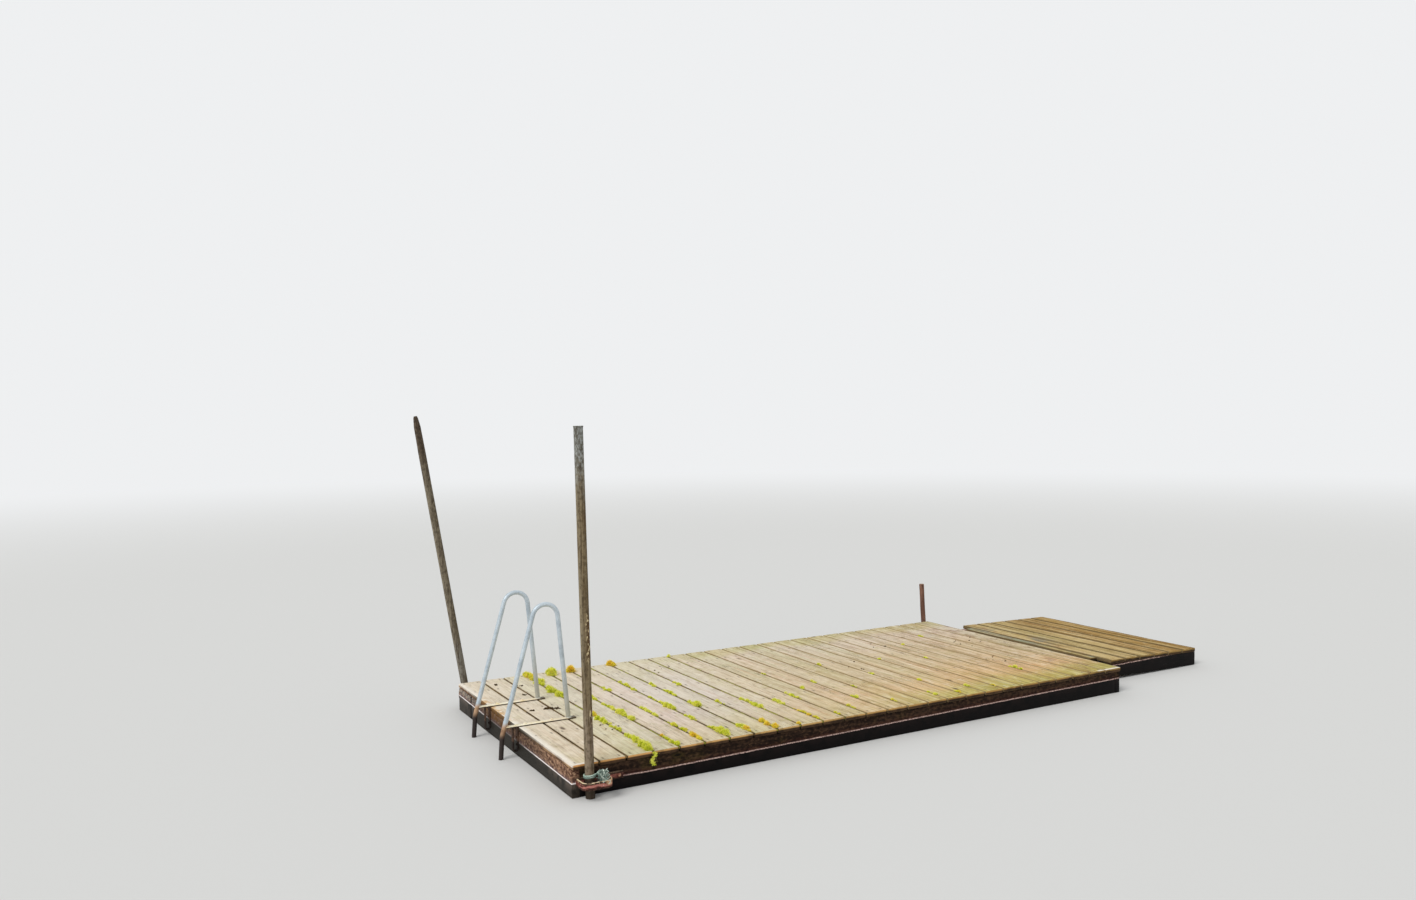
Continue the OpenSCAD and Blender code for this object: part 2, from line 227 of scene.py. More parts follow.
def roundedBox(width, high, radius, cornerSteps=4, sideSteps=6):
    # Four quarter circles of the radius, joined by straight sides with points between.
    # Gives the points, their outward normals, how near each is to a corner, and which corner.
    points, normals, near, which = [], [], [], []
    for k, (sx, sy) in enumerate(((1, -1), (1, 1), (-1, 1), (-1, -1))):
        turn = math.pi / 2 * (k - 1) + np.linspace(0, math.pi / 2, cornerSteps)
        quarter = np.stack([np.cos(turn), np.sin(turn)], 1)
        centre = np.array([sx * (width / 2 - radius), sy * (high / 2 - radius)])
        points.append(centre + radius * quarter)
        normals.append(quarter)
        near.append(np.ones(cornerSteps))
        along = (high, width)[k % 2] - 2 * radius
        steps = sideSteps if along > 0.05 else 1
        share = np.arange(1, steps + 1) / (steps + 1)
        ahead = np.array([-math.sin(math.pi / 2 * k), math.cos(math.pi / 2 * k)])
        points.append(points[-1][-1] + share[:, None] * along * ahead)
        normals.append(np.tile(quarter[-1], (steps, 1)))
        near.append(np.abs(2 * share - 1) ** 6 * 0.6)
        which.append(np.concatenate([np.full(cornerSteps, k), np.where(share < 0.5, k, (k + 1) % 4)]))
    return [np.concatenate(found) for found in (points, normals, near, which)]


def fullTurn(count):
    # Even steps round a circle, without its end
    return np.arange(count) * 2 * math.pi / count


def runAlong(path):
    # How far along its path each point lies
    return np.concatenate([[0], np.cumsum(np.linalg.norm(np.diff(path, axis=0), axis=1))])


def waves(rng, at, lengths, count=()):
    # A sum of sines of falling strength, one set of random starts for each entry of count
    starts = rng.uniform(0, 2 * math.pi, (len(lengths), *count))
    total = sum(np.sin(2 * math.pi * at / length + starts[i]) / (i + 1)
                for i, length in enumerate(lengths))
    return total / sum(1 / (i + 1) for i in range(len(lengths)))


def plank(length, width, high, seed, radius, bevel, wear, cup=0.0, tone=None, step=0.05):
    # A rounded rectangle (across, up) carried along its length. It shrinks at both ends along
    # a quarter circle, its corners step back by slow waves, and its top sinks in the middle.
    rng = np.random.default_rng(seed)
    outline, normal, corner, which = roundedBox(width, high, radius)
    turn = np.linspace(0, math.pi / 2, 4)
    ahead, inset = bevel * (1 - np.cos(turn)), bevel * (1 - np.sin(turn))
    middle = np.linspace(bevel, length - bevel, max(3, round(length / step)))[1:-1]
    along = np.concatenate([ahead, middle, length - ahead[::-1]])
    inset = np.concatenate([inset, 0 * middle, inset[::-1]])
    worn = wear * (0.5 + 0.5 * waves(rng, along[:, None], (0.61, 0.23, 0.09), (4,)))
    worn = worn[:, which] * corner + 0.12 * wear
    points = outline - normal * (inset[:, None] + worn)[..., None]
    sunk = cup * (1 - (2 * points[..., 0] / width) ** 2) * np.clip(normal[:, 1], 0, 1)
    rings = np.stack(np.broadcast_arrays((along - length / 2)[:, None], points[..., 0],
                                         points[..., 1] - sunk), -1)
    shift = rng.uniform((0, -0.06, 0.03), (40, 0.06, 0.12))
    grain = np.stack(np.broadcast_arrays(along[:, None], outline[:, 0], outline[:, 1]), -1) + shift
    tone = rng.uniform() if tone is None else tone
    place = np.stack(np.broadcast_arrays(np.clip(normal[:, 1], 0, 1), (inset / bevel)[:, None],
                                         tone), -1)
    return {"rings": rings, "grain": grain, "place": place}


def put(block, origin, along, across, up=(0, 0, 1)):
    # The block's own along, across and up directions are turned to these, from this origin
    turned = block["rings"] @ np.array([along, across, up], float) + np.array(origin, float)
    return {**block, "rings": turned}


def sidesOf(path):
    # Each point's side is the one before it, made square to the path's heading there
    heading = unit(np.gradient(path, axis=0))
    sides = [np.cross(heading[0], (0, 0, 1) if abs(heading[0][2]) < 0.9 else (0, 1, 0))]
    for ahead in heading:
        sides.append(unit(sides[-1] - ahead * (sides[-1] @ ahead)))
    sides = np.array(sides[1:])
    return sides, np.cross(heading, sides)


def tube(path, radius, count=24):
    # Round a path: its points plus radius times (cos turn * side + sin turn * other side)
    side, other = sidesOf(path)
    turn = fullTurn(count)
    if np.ndim(radius) < 2:
        radius = np.reshape(radius, (-1, 1))
    radius = np.broadcast_to(radius, (len(path), count))
    ring = np.cos(turn)[:, None] * side[:, None] + np.sin(turn)[:, None] * other[:, None]
    return {"rings": path[:, None] + radius[..., None] * ring}


def sweep(path, side, up, outline):
    # A flat outline (sideways, up) carried along a path
    return {"rings": path[:, None] + outline[:, :1] * side[:, None] + outline[:, 1:] * up[:, None]}


def arc(centre, radius, start, end, steps):
    # The centre plus the radius times (cos turn, sin turn)
    turn = np.linspace(start, end, steps)
    return np.array(centre) + radius * np.stack([np.cos(turn), np.sin(turn)], 1)


def aboveFloor(rings):
    # A shape cut off level with the floor
    return np.concatenate([rings[..., :2], np.maximum(rings[..., 2:], 0)], -1)


def lathe(profile, count=12):
    # Rings of the profile's (radius, height) points round the up axis
    turn = fullTurn(count)
    profile = np.array(profile, float)
    return np.stack([profile[:, :1] * np.cos(turn), profile[:, :1] * np.sin(turn),
                     np.broadcast_to(profile[:, 1:], (len(profile), count))], -1)


def curve(points, count):
    # A Catmull-Rom curve through the points, at even steps of its length
    points = np.asarray(points, float)
    padded = np.concatenate([2 * points[:1] - points[1:2], points, 2 * points[-1:] - points[-2:-1]])
    t = np.linspace(0, 1, 12, endpoint=False)[None, :, None]
    a, b, c, d = (padded[i:len(padded) - 3 + i, None] for i in range(4))
    fine = 0.5 * (2 * b + (c - a) * t + (2 * a - 5 * b + 4 * c - d) * t ** 2
                  + (3 * b - a - 3 * c + d) * t ** 3)
    fine = np.concatenate([fine.reshape(-1, 3), points[-1:]])
    run = runAlong(fine)
    even = np.linspace(0, run[-1], count)
    return np.stack([np.interp(even, run, fine[:, k]) for k in range(3)], 1)


def facesOf(rings, closed=False):
    # Quads between neighbouring rings, turned outwards, and a flat cap at each open end
    m, n = rings.shape[:2]
    i, j = np.meshgrid(np.arange(m if closed else m - 1), np.arange(n), indexing="ij")
    i2, j2 = (i + 1) % m, (j + 1) % n
    quads = np.stack([i * n + j, i * n + j2, i2 * n + j2, i2 * n + j], -1).reshape(-1, 4)
    flat = rings.reshape(-1, 3) - rings.reshape(-1, 3).mean(0)
    a, b, c, d = (flat[quads[:, k]] for k in range(4))
    inside = (a * np.cross(b, c)).sum() + (a * np.cross(c, d)).sum()
    faces = quads.tolist()
    if not closed:
        for cap in (np.arange(n)[::-1], (m - 1) * n + np.arange(n)):
            fan = flat[cap]
            inside += (fan[0] * np.cross(fan[1:-1], fan[2:])).sum()
            faces.append(cap.tolist())
    return [f[::-1] for f in faces] if inside < 0 else faces


def makePiece(name, blocks, finish, nodes=(), sharp=40):
    # Joins blocks of rings, or of loose points and faces, into one piece that rides the jetty
    points, faces, total = [], [], 0
    attributes = {"grain": [], "place": []}
    for block in blocks:
        own = block["rings"] if "rings" in block else block["points"]
        found = facesOf(own, block.get("closed", False)) if "rings" in block else block["faces"]
        points.append(own.reshape(-1, 3))
        faces += [[v + total for v in face] for face in found]
        total += len(points[-1])
        for label, values in attributes.items():
            values.append(np.broadcast_to(block.get(label, np.zeros(3)), own.shape).reshape(-1, 3))
    mesh = bpy.data.meshes.new(name)
    mesh.from_pydata(np.concatenate(points).tolist(), [], faces)
    for label, values in attributes.items():
        layer = mesh.attributes.new(label, "FLOAT_VECTOR", "POINT")
        layer.data.foreach_set("vector", np.concatenate(values).astype(np.float32).ravel())
    mesh.shade_smooth()
    mesh.set_sharp_from_angle(angle=math.radians(sharp))
    mesh.materials.append(finish.material)
    piece = bpy.data.objects.new(name, mesh)
    bpy.context.scene.collection.objects.link(piece)
    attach(piece, "root")
    if nodes:
        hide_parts(*nodes)
    return piece


def scatter(rings, places, turns=0.0, sizes=1.0):
    # Copies of one closed shape: its points are sized, turned about up, and moved to each place
    found = facesOf(rings)
    faces, caps = np.array(found[:-2]), found[-2:]
    shape = rings.reshape(-1, 3)
    turns = np.broadcast_to(turns, (len(places),))[:, None]
    c, s = np.cos(turns), np.sin(turns)
    x, y, z = np.moveaxis(shape[None] * np.atleast_2d(sizes)[:, None], -1, 0)
    points = np.stack([c * x - s * y, s * x + c * y, z + 0 * c], -1) + np.asarray(places)[:, None]
    step = np.arange(len(places)) * len(shape)
    allFaces = (faces[None] + step[:, None, None]).reshape(-1, 4).tolist()
    for cap in caps:
        allFaces += (np.array(cap)[None] + step[:, None]).tolist()
    return {"points": points.reshape(-1, 3), "faces": allFaces}


# Mooring poles
poles = {
    "near": {"x": 0.084, "y": -1.01445, "lean": 1.0, "top": 1.700, "sides": 36},
    "far": {"x": 0.046, "y": 1.01445, "lean": 9.2, "top": 1.790, "sides": 48},
    "radius": 0.02415, "wall": 0.0032, "capThick": 0.005, "capLip": 0.0015,
    "neck": 0.070, "thinning": 0.200, "neckRadius": 0.022, "topRadius": 0.014,
    "waves": (0.9, 0.31, 0.12), "dented": 0.0004, "worn": 0.0009, "splitDeep": 0.0032,
    # The far pole's splits: which column of points, the middle height and half the length
    "splits": ((7, 0.5, 0.4), (15, 1.2, 0.35), (24, 0.2, 0.3), (31, 0.9, 0.5), (38, 1.45, 0.25),
               (44, 0.6, 0.3)),
}


def onPole(points, pole, endX=lakeX):
    # Turns points about the pole's foot at deck level, so that its height leans past the lake end
    a = math.radians(pole["lean"])
    x, y, z = np.moveaxis(points, -1, 0)
    return np.stack([x * math.cos(a) - z * math.sin(a) + endX + pole["x"], y + pole["y"],
                     x * math.sin(a) + z * math.cos(a) + deckZ], -1)


# Rope: the tails' points are in millimetres from the pole, and the wrap's turns in degrees
rope = {
    "diameter": 0.009, "clear": 0.0003, "drop": 0.0669, "lay": 0.030, "points": 330,
    "start": ((72, 12, 10), (56, 19, 3), (40, 22, 1), (26, 26, 0)),
    "end": ((30, -16, 16), (44, -6, 18), (58, 0, 20), (68, -2, 24)),
    "wrapStart": 75, "wrapEnd": 660, "wrapStep": 15, "sides": 18, "strandOff": 0.52,
    "bunch": (-3.834, -1.062, 0.110), "bunchSize": (0.044, 0.036, 0.052),
    "loose": ({"count": 38, "radius": 0.0025, "steps": 20, "sides": 6, "crown": 1.0, "far": 1.0},
              {"count": 120, "radius": 0.0010, "steps": 12, "sides": 4, "crown": 0.2, "far": 0.8}),
    "bends": ((0.45, 0.25), (0.8, 0.45), (1.0, 0.15)),
    "guideTop": 0.104, "guideEdge": -1.080, "guideFront": -1.0937, "deckFront": -0.9825,
}


def ropeRoute(at):
    # The frame's own route: a tail, a rising helix round the pole in even steps, a tail
    turn = np.radians(np.arange(at["wrapStart"], at["wrapEnd"] + 1, at["wrapStep"]))
    r = poles["radius"] + at["diameter"] / 2 + at["clear"]
    rise = (at["diameter"] + at["clear"]) * (turn - turn[0]) / (2 * math.pi)
    wrap = np.stack([r * np.cos(turn), r * np.sin(turn), rise], 1)
    return np.concatenate([np.array(at["start"]) / 1000, wrap, np.array(at["end"]) / 1000])


def ropeFinish():
    # Old mint green rope. Painted shade makes it darker underneath and in the lower turn, and
    # dark teal between its strands and on the thin yarns. Each loose yarn has a tone of its own,
    # from dark teal to nearly white
    f = Finish("old green rope", Roughness=0.9, Specular_IOR_Level=0.08)
    crown, loose, tone = f.split(f.attribute("place"))
    up, spot = f.facing()[2], f.spot()
    z = f.split(spot)[2]
    cloud, fine = f.noise(spot, 60.0, 3, 0.6), f.noise(spot, 900.0, 2, 0.6)
    pale = loose * tone.between(0.7, 0.3) * crown.between(0.5, 0.9)
    f.set("Base Color", f.coats(
        f.mix(cloud.between(0.4, 0.62), paint(212, 230, 214), paint(172, 198, 184)),
        # painted shade on the underside
        (up.between(0.25, -0.5) * 0.85, paint(62, 92, 86)),
        (fine.between(0.45, 0.7) * 0.35, paint(96, 128, 118)),
        # painted shade on the rope's lower turn
        ((1 - loose) * z.between(0.115, 0.108) * 0.7, paint(54, 80, 74)),
        # painted shade between the strands, and on the thin yarns, whose crown is low
        (crown.between(0.6, 0.0) * 0.8, paint(44, 66, 62)),
        (loose * tone.between(0.62, 0.95) * 0.9, paint(70, 104, 98)),
        (pale * 0.85, paint(240, 248, 236))))
    f.bump(fine, 0.0004, 0.6)
    return f


def splay(rng, start, at, kind):
    # A loose strand: from the rope's end through the bunch's middle, then out on a bent line. It
    # stays in front of the deck, and in front of the guide where it hangs below the guide's top
    middle, size = np.array(at["bunch"]), np.array(at["bunchSize"])
    way = unit(rng.normal(0, 1, 3))
    bend = np.cross(way, rng.normal(0, 1, 3)) * 0.5
    reach = rng.uniform(0.75, 1.0) * kind["far"]
    spots = [start, middle + rng.normal(0, 0.22, 3) * size]
    spots += [middle + size * (way * s * reach + bend * b) for s, b in at["bends"]]
    line = curve(spots, kind["steps"])
    low = (line[:, 2] < at["guideTop"]) & (line[:, 1] < at["guideEdge"])
    line[:, 1] = np.minimum(line[:, 1], np.where(low, at["guideFront"], at["deckFront"]))
    strand = tube(line, kind["radius"] * np.linspace(1.0, 0.55, kind["steps"]), kind["sides"])
    return {**strand, "place": np.array((kind["crown"], 1, rng.uniform()))}


def makeRope(at):
    # Three strands: the radius at each turn is the union of three circles that go round with
    # the lay. Loose strands and yarns leave both ends in a bunch
    rng = np.random.default_rng(3)
    path = onPole(curve(ropeRoute(at) - (0, 0, at["drop"]), at["points"]), poles["near"])
    run, third = runAlong(path), 2 * math.pi / 3
    twist = (fullTurn(at["sides"]) - run[:, None] * 2 * math.pi / at["lay"]) % third - third / 2
    off = at["strandOff"]
    radius = off * np.cos(twist) + np.sqrt((1 - off) ** 2 - (off * np.sin(twist)) ** 2)
    body = tube(path, at["diameter"] / 2 * radius, at["sides"])
    crown = np.cos(twist * 1.5)
    body["place"] = np.stack([crown, 0 * crown, 0 * crown], -1)
    piece = makePiece("ropeLashing", [body], ropeLook, ["rope_lashing"])
    ends = (path[0], path[-1])
    loose = [splay(rng, ends[k % 2], at, kind) for kind in at["loose"] for k in range(kind["count"])]
    frays = makePiece("ropeYarns", loose, ropeLook)


ropeLook = ropeFinish()
makeRope(rope)
print("rope made")


# Woods

def woodLines(f, grain, ringWidth=0.0042):
    # Year rings are shells round a pith that wanders: its distance, plus noise, through a sine.
    # Fine fibres are noise drawn out along the board; checks are where slow noise crosses half.
    across, up = f.split(grain)[1:]
    off = across + (f.drawn(grain, (1.1, 5, 5), 2) - 0.5) * 0.09
    radius = (off * off + up * up) ** 0.5 + (f.drawn(grain, (3.5, 16, 16), 2) - 0.5) * 0.012
    rings = (radius * (2 * math.pi / ringWidth)).sine() * 0.5 + 0.5
    fibre = f.drawn(grain, (9, 260, 260), 4, 0.6)
    coarse = f.drawn(grain, (2.2, 60, 60), 4, 0.6)
    check = abs(f.drawn(grain, (2.6, 75, 75), 1.5) - 0.5)
    where = f.drawn(grain, (2.6, 11.7, 11.7), 2)
    return rings, fibre, coarse, check.between(0.012, 0.0) * where.between(0.5, 0.62)


def knots(f, grain, size=0.011):
    # Sparse cells, longer along the board; only cells with a high random value hold a knot
    cell = f.stretch(grain, (2.6, 7, 7))
    chosen = f.split(f.cells(cell, 1.0, output="Color"))[0].between(0.5, 0.52)
    far = f.cells(cell, 1.0) + f.drawn(grain, (60, 60, 60), 2) * 0.03
    return far.between(size * 9, size * 6) * chosen, far.between(size * 14, size * 8) * chosen


deckLook = {
    "bleached": paint(236, 226, 204), "tan": paint(232, 198, 148), "straw": paint(226, 208, 174),
    "grey": paint(232, 219, 199), "lilac": paint(236, 224, 220), "algae": paint(198, 194, 104),
    "worn": paint(244, 236, 222), "screw": paint(98, 78, 58), "check": paint(70, 56, 40),
    "knot": paint(128, 96, 64), "gap": paint(88, 68, 46), "gapDark": paint(52, 39, 29),
    "end": paint(88, 65, 44), "endDark": paint(54, 39, 28), "face": paint(184, 146, 108),
    "faceDark": paint(108, 80, 60), "wet": paint(38, 38, 31), "edgeDirt": paint(150, 130, 92),
    "litter": paint(150, 104, 78), "streak": 0.40, "farPale": 0.22, "first": lakeX + boardWidth / 2,
    "step": pitch, "ragged": 0.016, "rimStart": 0.062, "rim": 0.5, "rimDirt": paint(150, 130, 92),
    "golden": paint(206, 162, 98), "goldenFace": paint(142, 100, 50),
}
# Lengthwise bands multiply the ground by olive where the noise is low, and by pink where it is high
bandTint = ((0.30, (0.60, 0.66, 0.42)), (0.43, (1, 1, 1)), (0.57, (1, 1, 1)),
            (0.70, (0.92, 0.69, 0.58)))
boardTint = ((0.0, (0.84, 0.86, 0.84)), (0.25, (1, 1, 1)), (0.5, (1.0, 0.90, 0.86)),
             (0.75, (1, 1, 1)), (1.0, (0.90, 0.93, 0.76)))
litRimTint = ((0.0, paint(244, 178, 108)), (0.3, paint(224, 180, 112)), (0.65, paint(196, 150, 84)),
           (1.0, paint(166, 134, 76)))


def litterStain(f):
    # Where litter has stained the boards, in blots a little longer across the jetty
    return f.drawn(f.spot(), (13, 6, 13), 4, 0.65).between(0.54, 0.62)


def deckGround(f, x, y, cloud, look):
    # Bleached at the lake end. Towards the shore end it is tan on the near side, straw in the
    # middle and grey beige on the far side. Lilac a metre in, olive along both long edges, and
    # stained by litter by the seam
    along = x - lakeX + (cloud - 0.5) * 0.7
    across = y - nearY + (cloud - 0.5) * 0.6
    land = f.mix(across.between(0.15, 0.9), look["tan"], look["straw"])
    land = f.mix(across.between(1.0, 1.75), land, look["grey"])
    base = f.mix(along.between(0.6, 2.9), look["bleached"], land)
    lilac = abs(along - 1.05).between(0.5, 0.15) * abs(y + 0.05).between(0.75, 0.35)
    base = f.mix(lilac * 0.65, base, look["lilac"])
    nearEdge = across.between(0.32, 0.03) * (0.25 + along.between(1.8, 2.8) * 0.75)
    algae = nearEdge.most(across.between(1.68, 1.9) * along.between(0.3, 2.5) * 0.6)
    base = f.mix(algae * 0.75, base, look["algae"])
    return f.mix(litterStain(f) * (x - shoreX).between(-0.5, -0.15) * 0.5, base, look["litter"]), 0.0


def boardFinish(name, look, ground, screwed, top, fall=0.0):
    # The ground's colour under lengthwise bands, each board's own tint, fibres, streaks, year
    # rings, smudges, knots, checks, specks and rust round the screws, darker along the gaps, and
    # a pale strip along the lake end. Ends and sides are dark, with a lighter upper rim that is
    # partly wear and partly a painted highlight. The lake end's face is wet in its middle and
    # darker there also by painted shade, and golden beside the ladder as its rim is
    f = Finish(name, Specular_IOR_Level=0.15)
    grain, spot = f.attribute("grain"), f.spot()
    up, end, tone = f.split(f.attribute("place"))
    x, y, z = f.split(spot)
    rings, fibre, coarse, checks = woodLines(f, grain)
    core, rim = knots(f, grain)
    cloud, blotch = f.noise(spot, 1.5, 3, 0.5), f.noise(spot, 9.0, 4, 0.6)
    speck, smudge = f.noise(spot, 55.0, 3, 0.6), f.drawn(spot, (22, 13, 22), 4, 0.65)
    band, streak = f.drawn(grain, (1.3, 44, 44), 4, 0.62), f.drawn(grain, (1.2, 48, 48), 3, 0.6)
    fromLake, fromNear, fromSeam = x - lakeX, y - nearY, x - shoreX
    strength = (fromLake.between(0.6, 3.4) * 0.75 + 0.25) * look["streak"]
    rimOff = (x - look["first"]).fold(look["step"] / 2) + (speck - 0.5) * look["ragged"]
    pale = fromNear.between(0.5, 1.0) * fromLake.between(1.7, 1.0)
    cell = f.stretch(spot, (34, 34, 34))
    dots = f.cells(cell, 1.0).between(0.16, 0.08)
    red, green = f.split(f.cells(cell, 1.0, output="Color"))[:2]
    base, damp = ground(f, x, y, cloud, look)
    base = f.coats(
        base,
        (fromLake.between(1.0, 2.8) * 0.58 + 0.35, f.ramp(band, *bandTint), "MULTIPLY"),
        (0.5, f.ramp(tone, *boardTint), "MULTIPLY"),
        (coarse.between(0.42, 0.7) * 0.4, (0.62, 0.56, 0.48), "MULTIPLY"),
        (fibre.between(0.45, 0.75) * 0.55, (0.52, 0.46, 0.34), "MULTIPLY"),
        (streak.between(0.50, 0.60) * strength, (0.52, 0.44, 0.32), "MULTIPLY"),
        (streak.between(0.46, 0.38) * strength * 0.5, look["worn"]),
        (rings.between(0.55, 1.0) * 0.22, (0.55, 0.44, 0.32), "MULTIPLY"),
        (blotch.between(0.54, 0.68) * 0.3, (0.74, 0.78, 0.50), "MULTIPLY"),
        (smudge.between(0.52, 0.66) * 0.35, (0.66, 0.56, 0.44), "MULTIPLY"),
        (smudge.between(0.45, 0.33) * 0.25, look["worn"]),
        (rim * 0.5, look["knot"]),
        (core * 0.75, look["check"]),
        (checks * 0.8, look["check"]),
        # darker beside the gaps
        (rimOff.between(look["rimStart"], 0.071) * look["rim"], look["rimDirt"]),
        (pale * look["farPale"], look["worn"]),
        (dots * red.between(0.80, 0.82) * 0.7, look["worn"]),
        (dots * green.between(0.86, 0.88) * 0.75, look["check"]))
    if screwed:
        nearest = abs(y - bearerY[0])
        for line in bearerY[1:]:
            nearest = nearest.least(abs(y - line))
        apart = boardWidth / 2 - layout["screwInset"]
        off = abs((fromLake - boardWidth / 2).fold(pitch / 2) - apart)
        stain = (nearest * nearest * 0.09 + off * off) ** 0.5
        base = f.mix(stain.between(0.009, 0.002) * 0.5, base, look["screw"])
    # Pale strips along the lake end's edge, round its near corner, and at the shore end
    edge = fromLake.most(0).least(fromNear * 1.4 + fromLake.between(0.1, 0.5))
    edge = edge.least(fromNear.most(0) + fromSeam.between(-0.2, -0.45) + 0.012)
    besideLadder = abs(y - 0.26).between(0.36, 0.20)
    golden = fromLake.between(0.055, 0.010) * besideLadder * smudge.between(0.42, 0.54)
    base = f.coats(base,
                   ((edge.between(0.044, 0.012) * (0.45 + speck * 0.9)).least(1), look["worn"]),
                   (golden * 0.8, look["golden"]))
    depth = z - top + fromSeam * fall
    # the sides' upper rim: a painted highlight that is partly wear
    lit = depth.between(-0.015, -0.008) * (0.45 + blotch.between(0.62, 0.45) * 0.5 + speck * 0.4)
    ends = f.coats(f.mix(blotch.between(0.42, 0.6), look["end"], look["endDark"]),
                   (lit.least(1), f.ramp(fromLake / 4, *litRimTint)))
    # the face's middle round the ladder is darker: wet wood, and painted shade
    wet = (abs(y - 0.10) + (blotch - 0.5) * 0.6).between(0.88, 0.30)
    face = f.coats(f.mix(blotch.between(0.42, 0.62), look["face"], look["faceDark"]),
                   # the face's upper rim in the pale worn colour, partly wear and partly a painted
                   # highlight
                   (lit.least(1) * 0.8, look["worn"]),
                   (wet * 0.9, look["wet"]),
                   (besideLadder * blotch.between(0.40, 0.56) * 0.7, look["goldenFace"]))
    side = f.coats(f.mix(blotch.between(0.4, 0.65), look["gap"], look["gapDark"]),
                   (fromLake.between(1.0, 2.4) * 0.6, look["edgeDirt"]),
                   (end.between(0.3, 0.9), ends),
                   (fromLake.between(0.008, 0.005), face),
                   (fibre.between(0.5, 0.8) * 0.35, look["gapDark"]),
                   (rings * 0.25 * end, look["gapDark"]))
    flat = up.between(0.25, 0.8) * (1 - end.between(0.3, 0.9))
    f.set("Base Color", f.mix(flat, side, base))
    f.set("Roughness", 0.74 + fibre * 0.2 + checks * 0.1 - damp * 0.4)
    f.bump(fibre * 0.5 + coarse * 0.35 + rings * 0.16 - checks * 1.2 - core * 0.25, 0.0012, 0.8)
    return f


deckWood = boardFinish("weathered deck boards", deckLook, deckGround, True, deckZ)

# The shaded copy, for the side beams, bearers, shore end and stringers: its dark colours are partly the
# wood's own and partly painted shade
sideLook = {
    "dry": paint(70, 52, 40), "deep": paint(40, 28, 22), "stain": paint(66, 56, 28),
    "low": paint(84, 44, 40), "far": paint(60, 48, 40), "tide": paint(156, 128, 124),
    "fleck": paint(232, 200, 186), "under": paint(27, 20, 19), "underDark": paint(13, 11, 11),
    "mottle": paint(26, 18, 15), "fresh": paint(84, 63, 46), "soaked": 0.0, "cover": 0.3,
}
endLook = {
    "dry": paint(164, 128, 102), "deep": paint(100, 74, 62), "stain": paint(88, 54, 44),
    "low": paint(132, 108, 108), "far": paint(152, 144, 134), "tide": paint(244, 234, 232),
    "fleck": paint(252, 246, 244), "under": paint(88, 78, 70), "underDark": paint(44, 41, 36),
    "mottle": paint(56, 34, 32), "fresh": paint(196, 160, 128), "soaked": 0.9, "cover": 0.7,
    "golden": paint(128, 90, 46), "joint": paint(24, 16, 13),
}


def beamFinish(name, look):
    # Weathered wood over a pale tide mark, and wet wood below it. The mark rises to the shore end
    # and to the far side, and slow noise makes it wander. The lake end is darker in its middle,
    # soaked and with painted shade round the ladder, where the mark fades, golden beside the
    # ladder, and dark at its joint
    f = Finish(name, Specular_IOR_Level=0.07)
    grain, spot = f.attribute("grain"), f.spot()
    x, y, z = f.split(spot)
    rings, fibre, coarse, checks = woodLines(f, grain, 0.005)
    core, rim = knots(f, grain)
    patch, blotch = f.noise(spot, 4.0, 4, 0.6), f.noise(spot, 16.0, 4, 0.6)
    speck, mottle = f.noise(spot, 150.0, 3, 0.6), f.drawn(spot, (40, 40, 70), 4, 0.7)
    fromLake = x - lakeX
    level = z - layout["tideZ"] - fromLake.most(0) * layout["tideRise"]
    level = level + fromLake.between(0.0, 0.5) * 0.011 - (y - nearY) * layout["tideAcross"]
    level = level + (blotch - 0.5) * 0.005 + (speck - 0.5) * 0.003
    corner = 0.35 + fromLake.between(0.45, 0.25) * 0.4
    under = f.coats(f.mix(blotch.between(0.42, 0.62), look["under"], look["underDark"]),
                    (level.between(-0.01, -0.05) * 0.7, look["underDark"]),
                    (fibre.between(0.5, 0.75) * 0.4, look["underDark"]))
    base = f.coats(
        f.mix(coarse.between(0.38, 0.66), look["dry"], look["deep"]),
        ((y + (patch - 0.5) * 0.9).between(0.1, 0.75), look["far"]),
        (patch.between(0.5, 0.64) * 0.5, look["stain"]),
        (level.between(0.030, 0.006) * corner, look["low"]),
        (mottle.between(0.49, 0.57) * 0.7, look["mottle"]),
        (mottle.between(0.46, 0.38) * 0.75, look["fresh"]),
        (fibre.between(0.48, 0.78) * 0.5, look["deep"]),
        (rim * 0.5, look["stain"]),
        (core * 0.85, look["underDark"]),
        (checks * 0.8, look["underDark"]),
        (level.between(0.001, -0.003), under))
    mark = level.between(-0.0040, -0.0015) * level.between(0.0055, 0.002)
    if look["soaked"]:
        # the middle of the lake end is darker: soaked wood, and painted shade round the ladder
        middle = abs(y - 0.03) + (patch - 0.5) * 0.6
        soaked = middle.between(0.86, 0.34) * (0.45 + level.between(0.01, -0.01) * 0.5)
        golden = abs(y - 0.26).between(0.30, 0.14) * mottle.between(0.44, 0.54)
        mark = mark * (1 - middle.between(0.52, 0.28) * look["soaked"])
        base = f.coats(base, (soaked, look["underDark"]),
                       (golden * level.between(0.005, 0.03) * 0.55, look["golden"]),
                       (abs(y - bearerY[3]).between(0.016, 0.009) * 0.92, look["joint"]))
    f.set("Base Color", f.coats(base,
                                ((mark * (look["cover"] + speck * 0.9)).least(1), look["tide"]),
                                (mark * speck.between(0.48, 0.56), look["fleck"])))
    f.set("Roughness", 0.8 - level.between(0.001, -0.004) * 0.35 + fibre * 0.12)
    f.bump(fibre * 0.5 + coarse * 0.5 + rings * 0.2 - checks * 1.5, 0.0014, 0.8)
    return f


sideWood = beamFinish("wet and shaded side beams", sideLook)
endWood = beamFinish("lit lake end beam", endLook)
print("wood finishes made")


# Deck
boardSizes = {"radius": 0.0045, "bevel": 0.003, "wear": 0.0022, "cup": 0.0007}


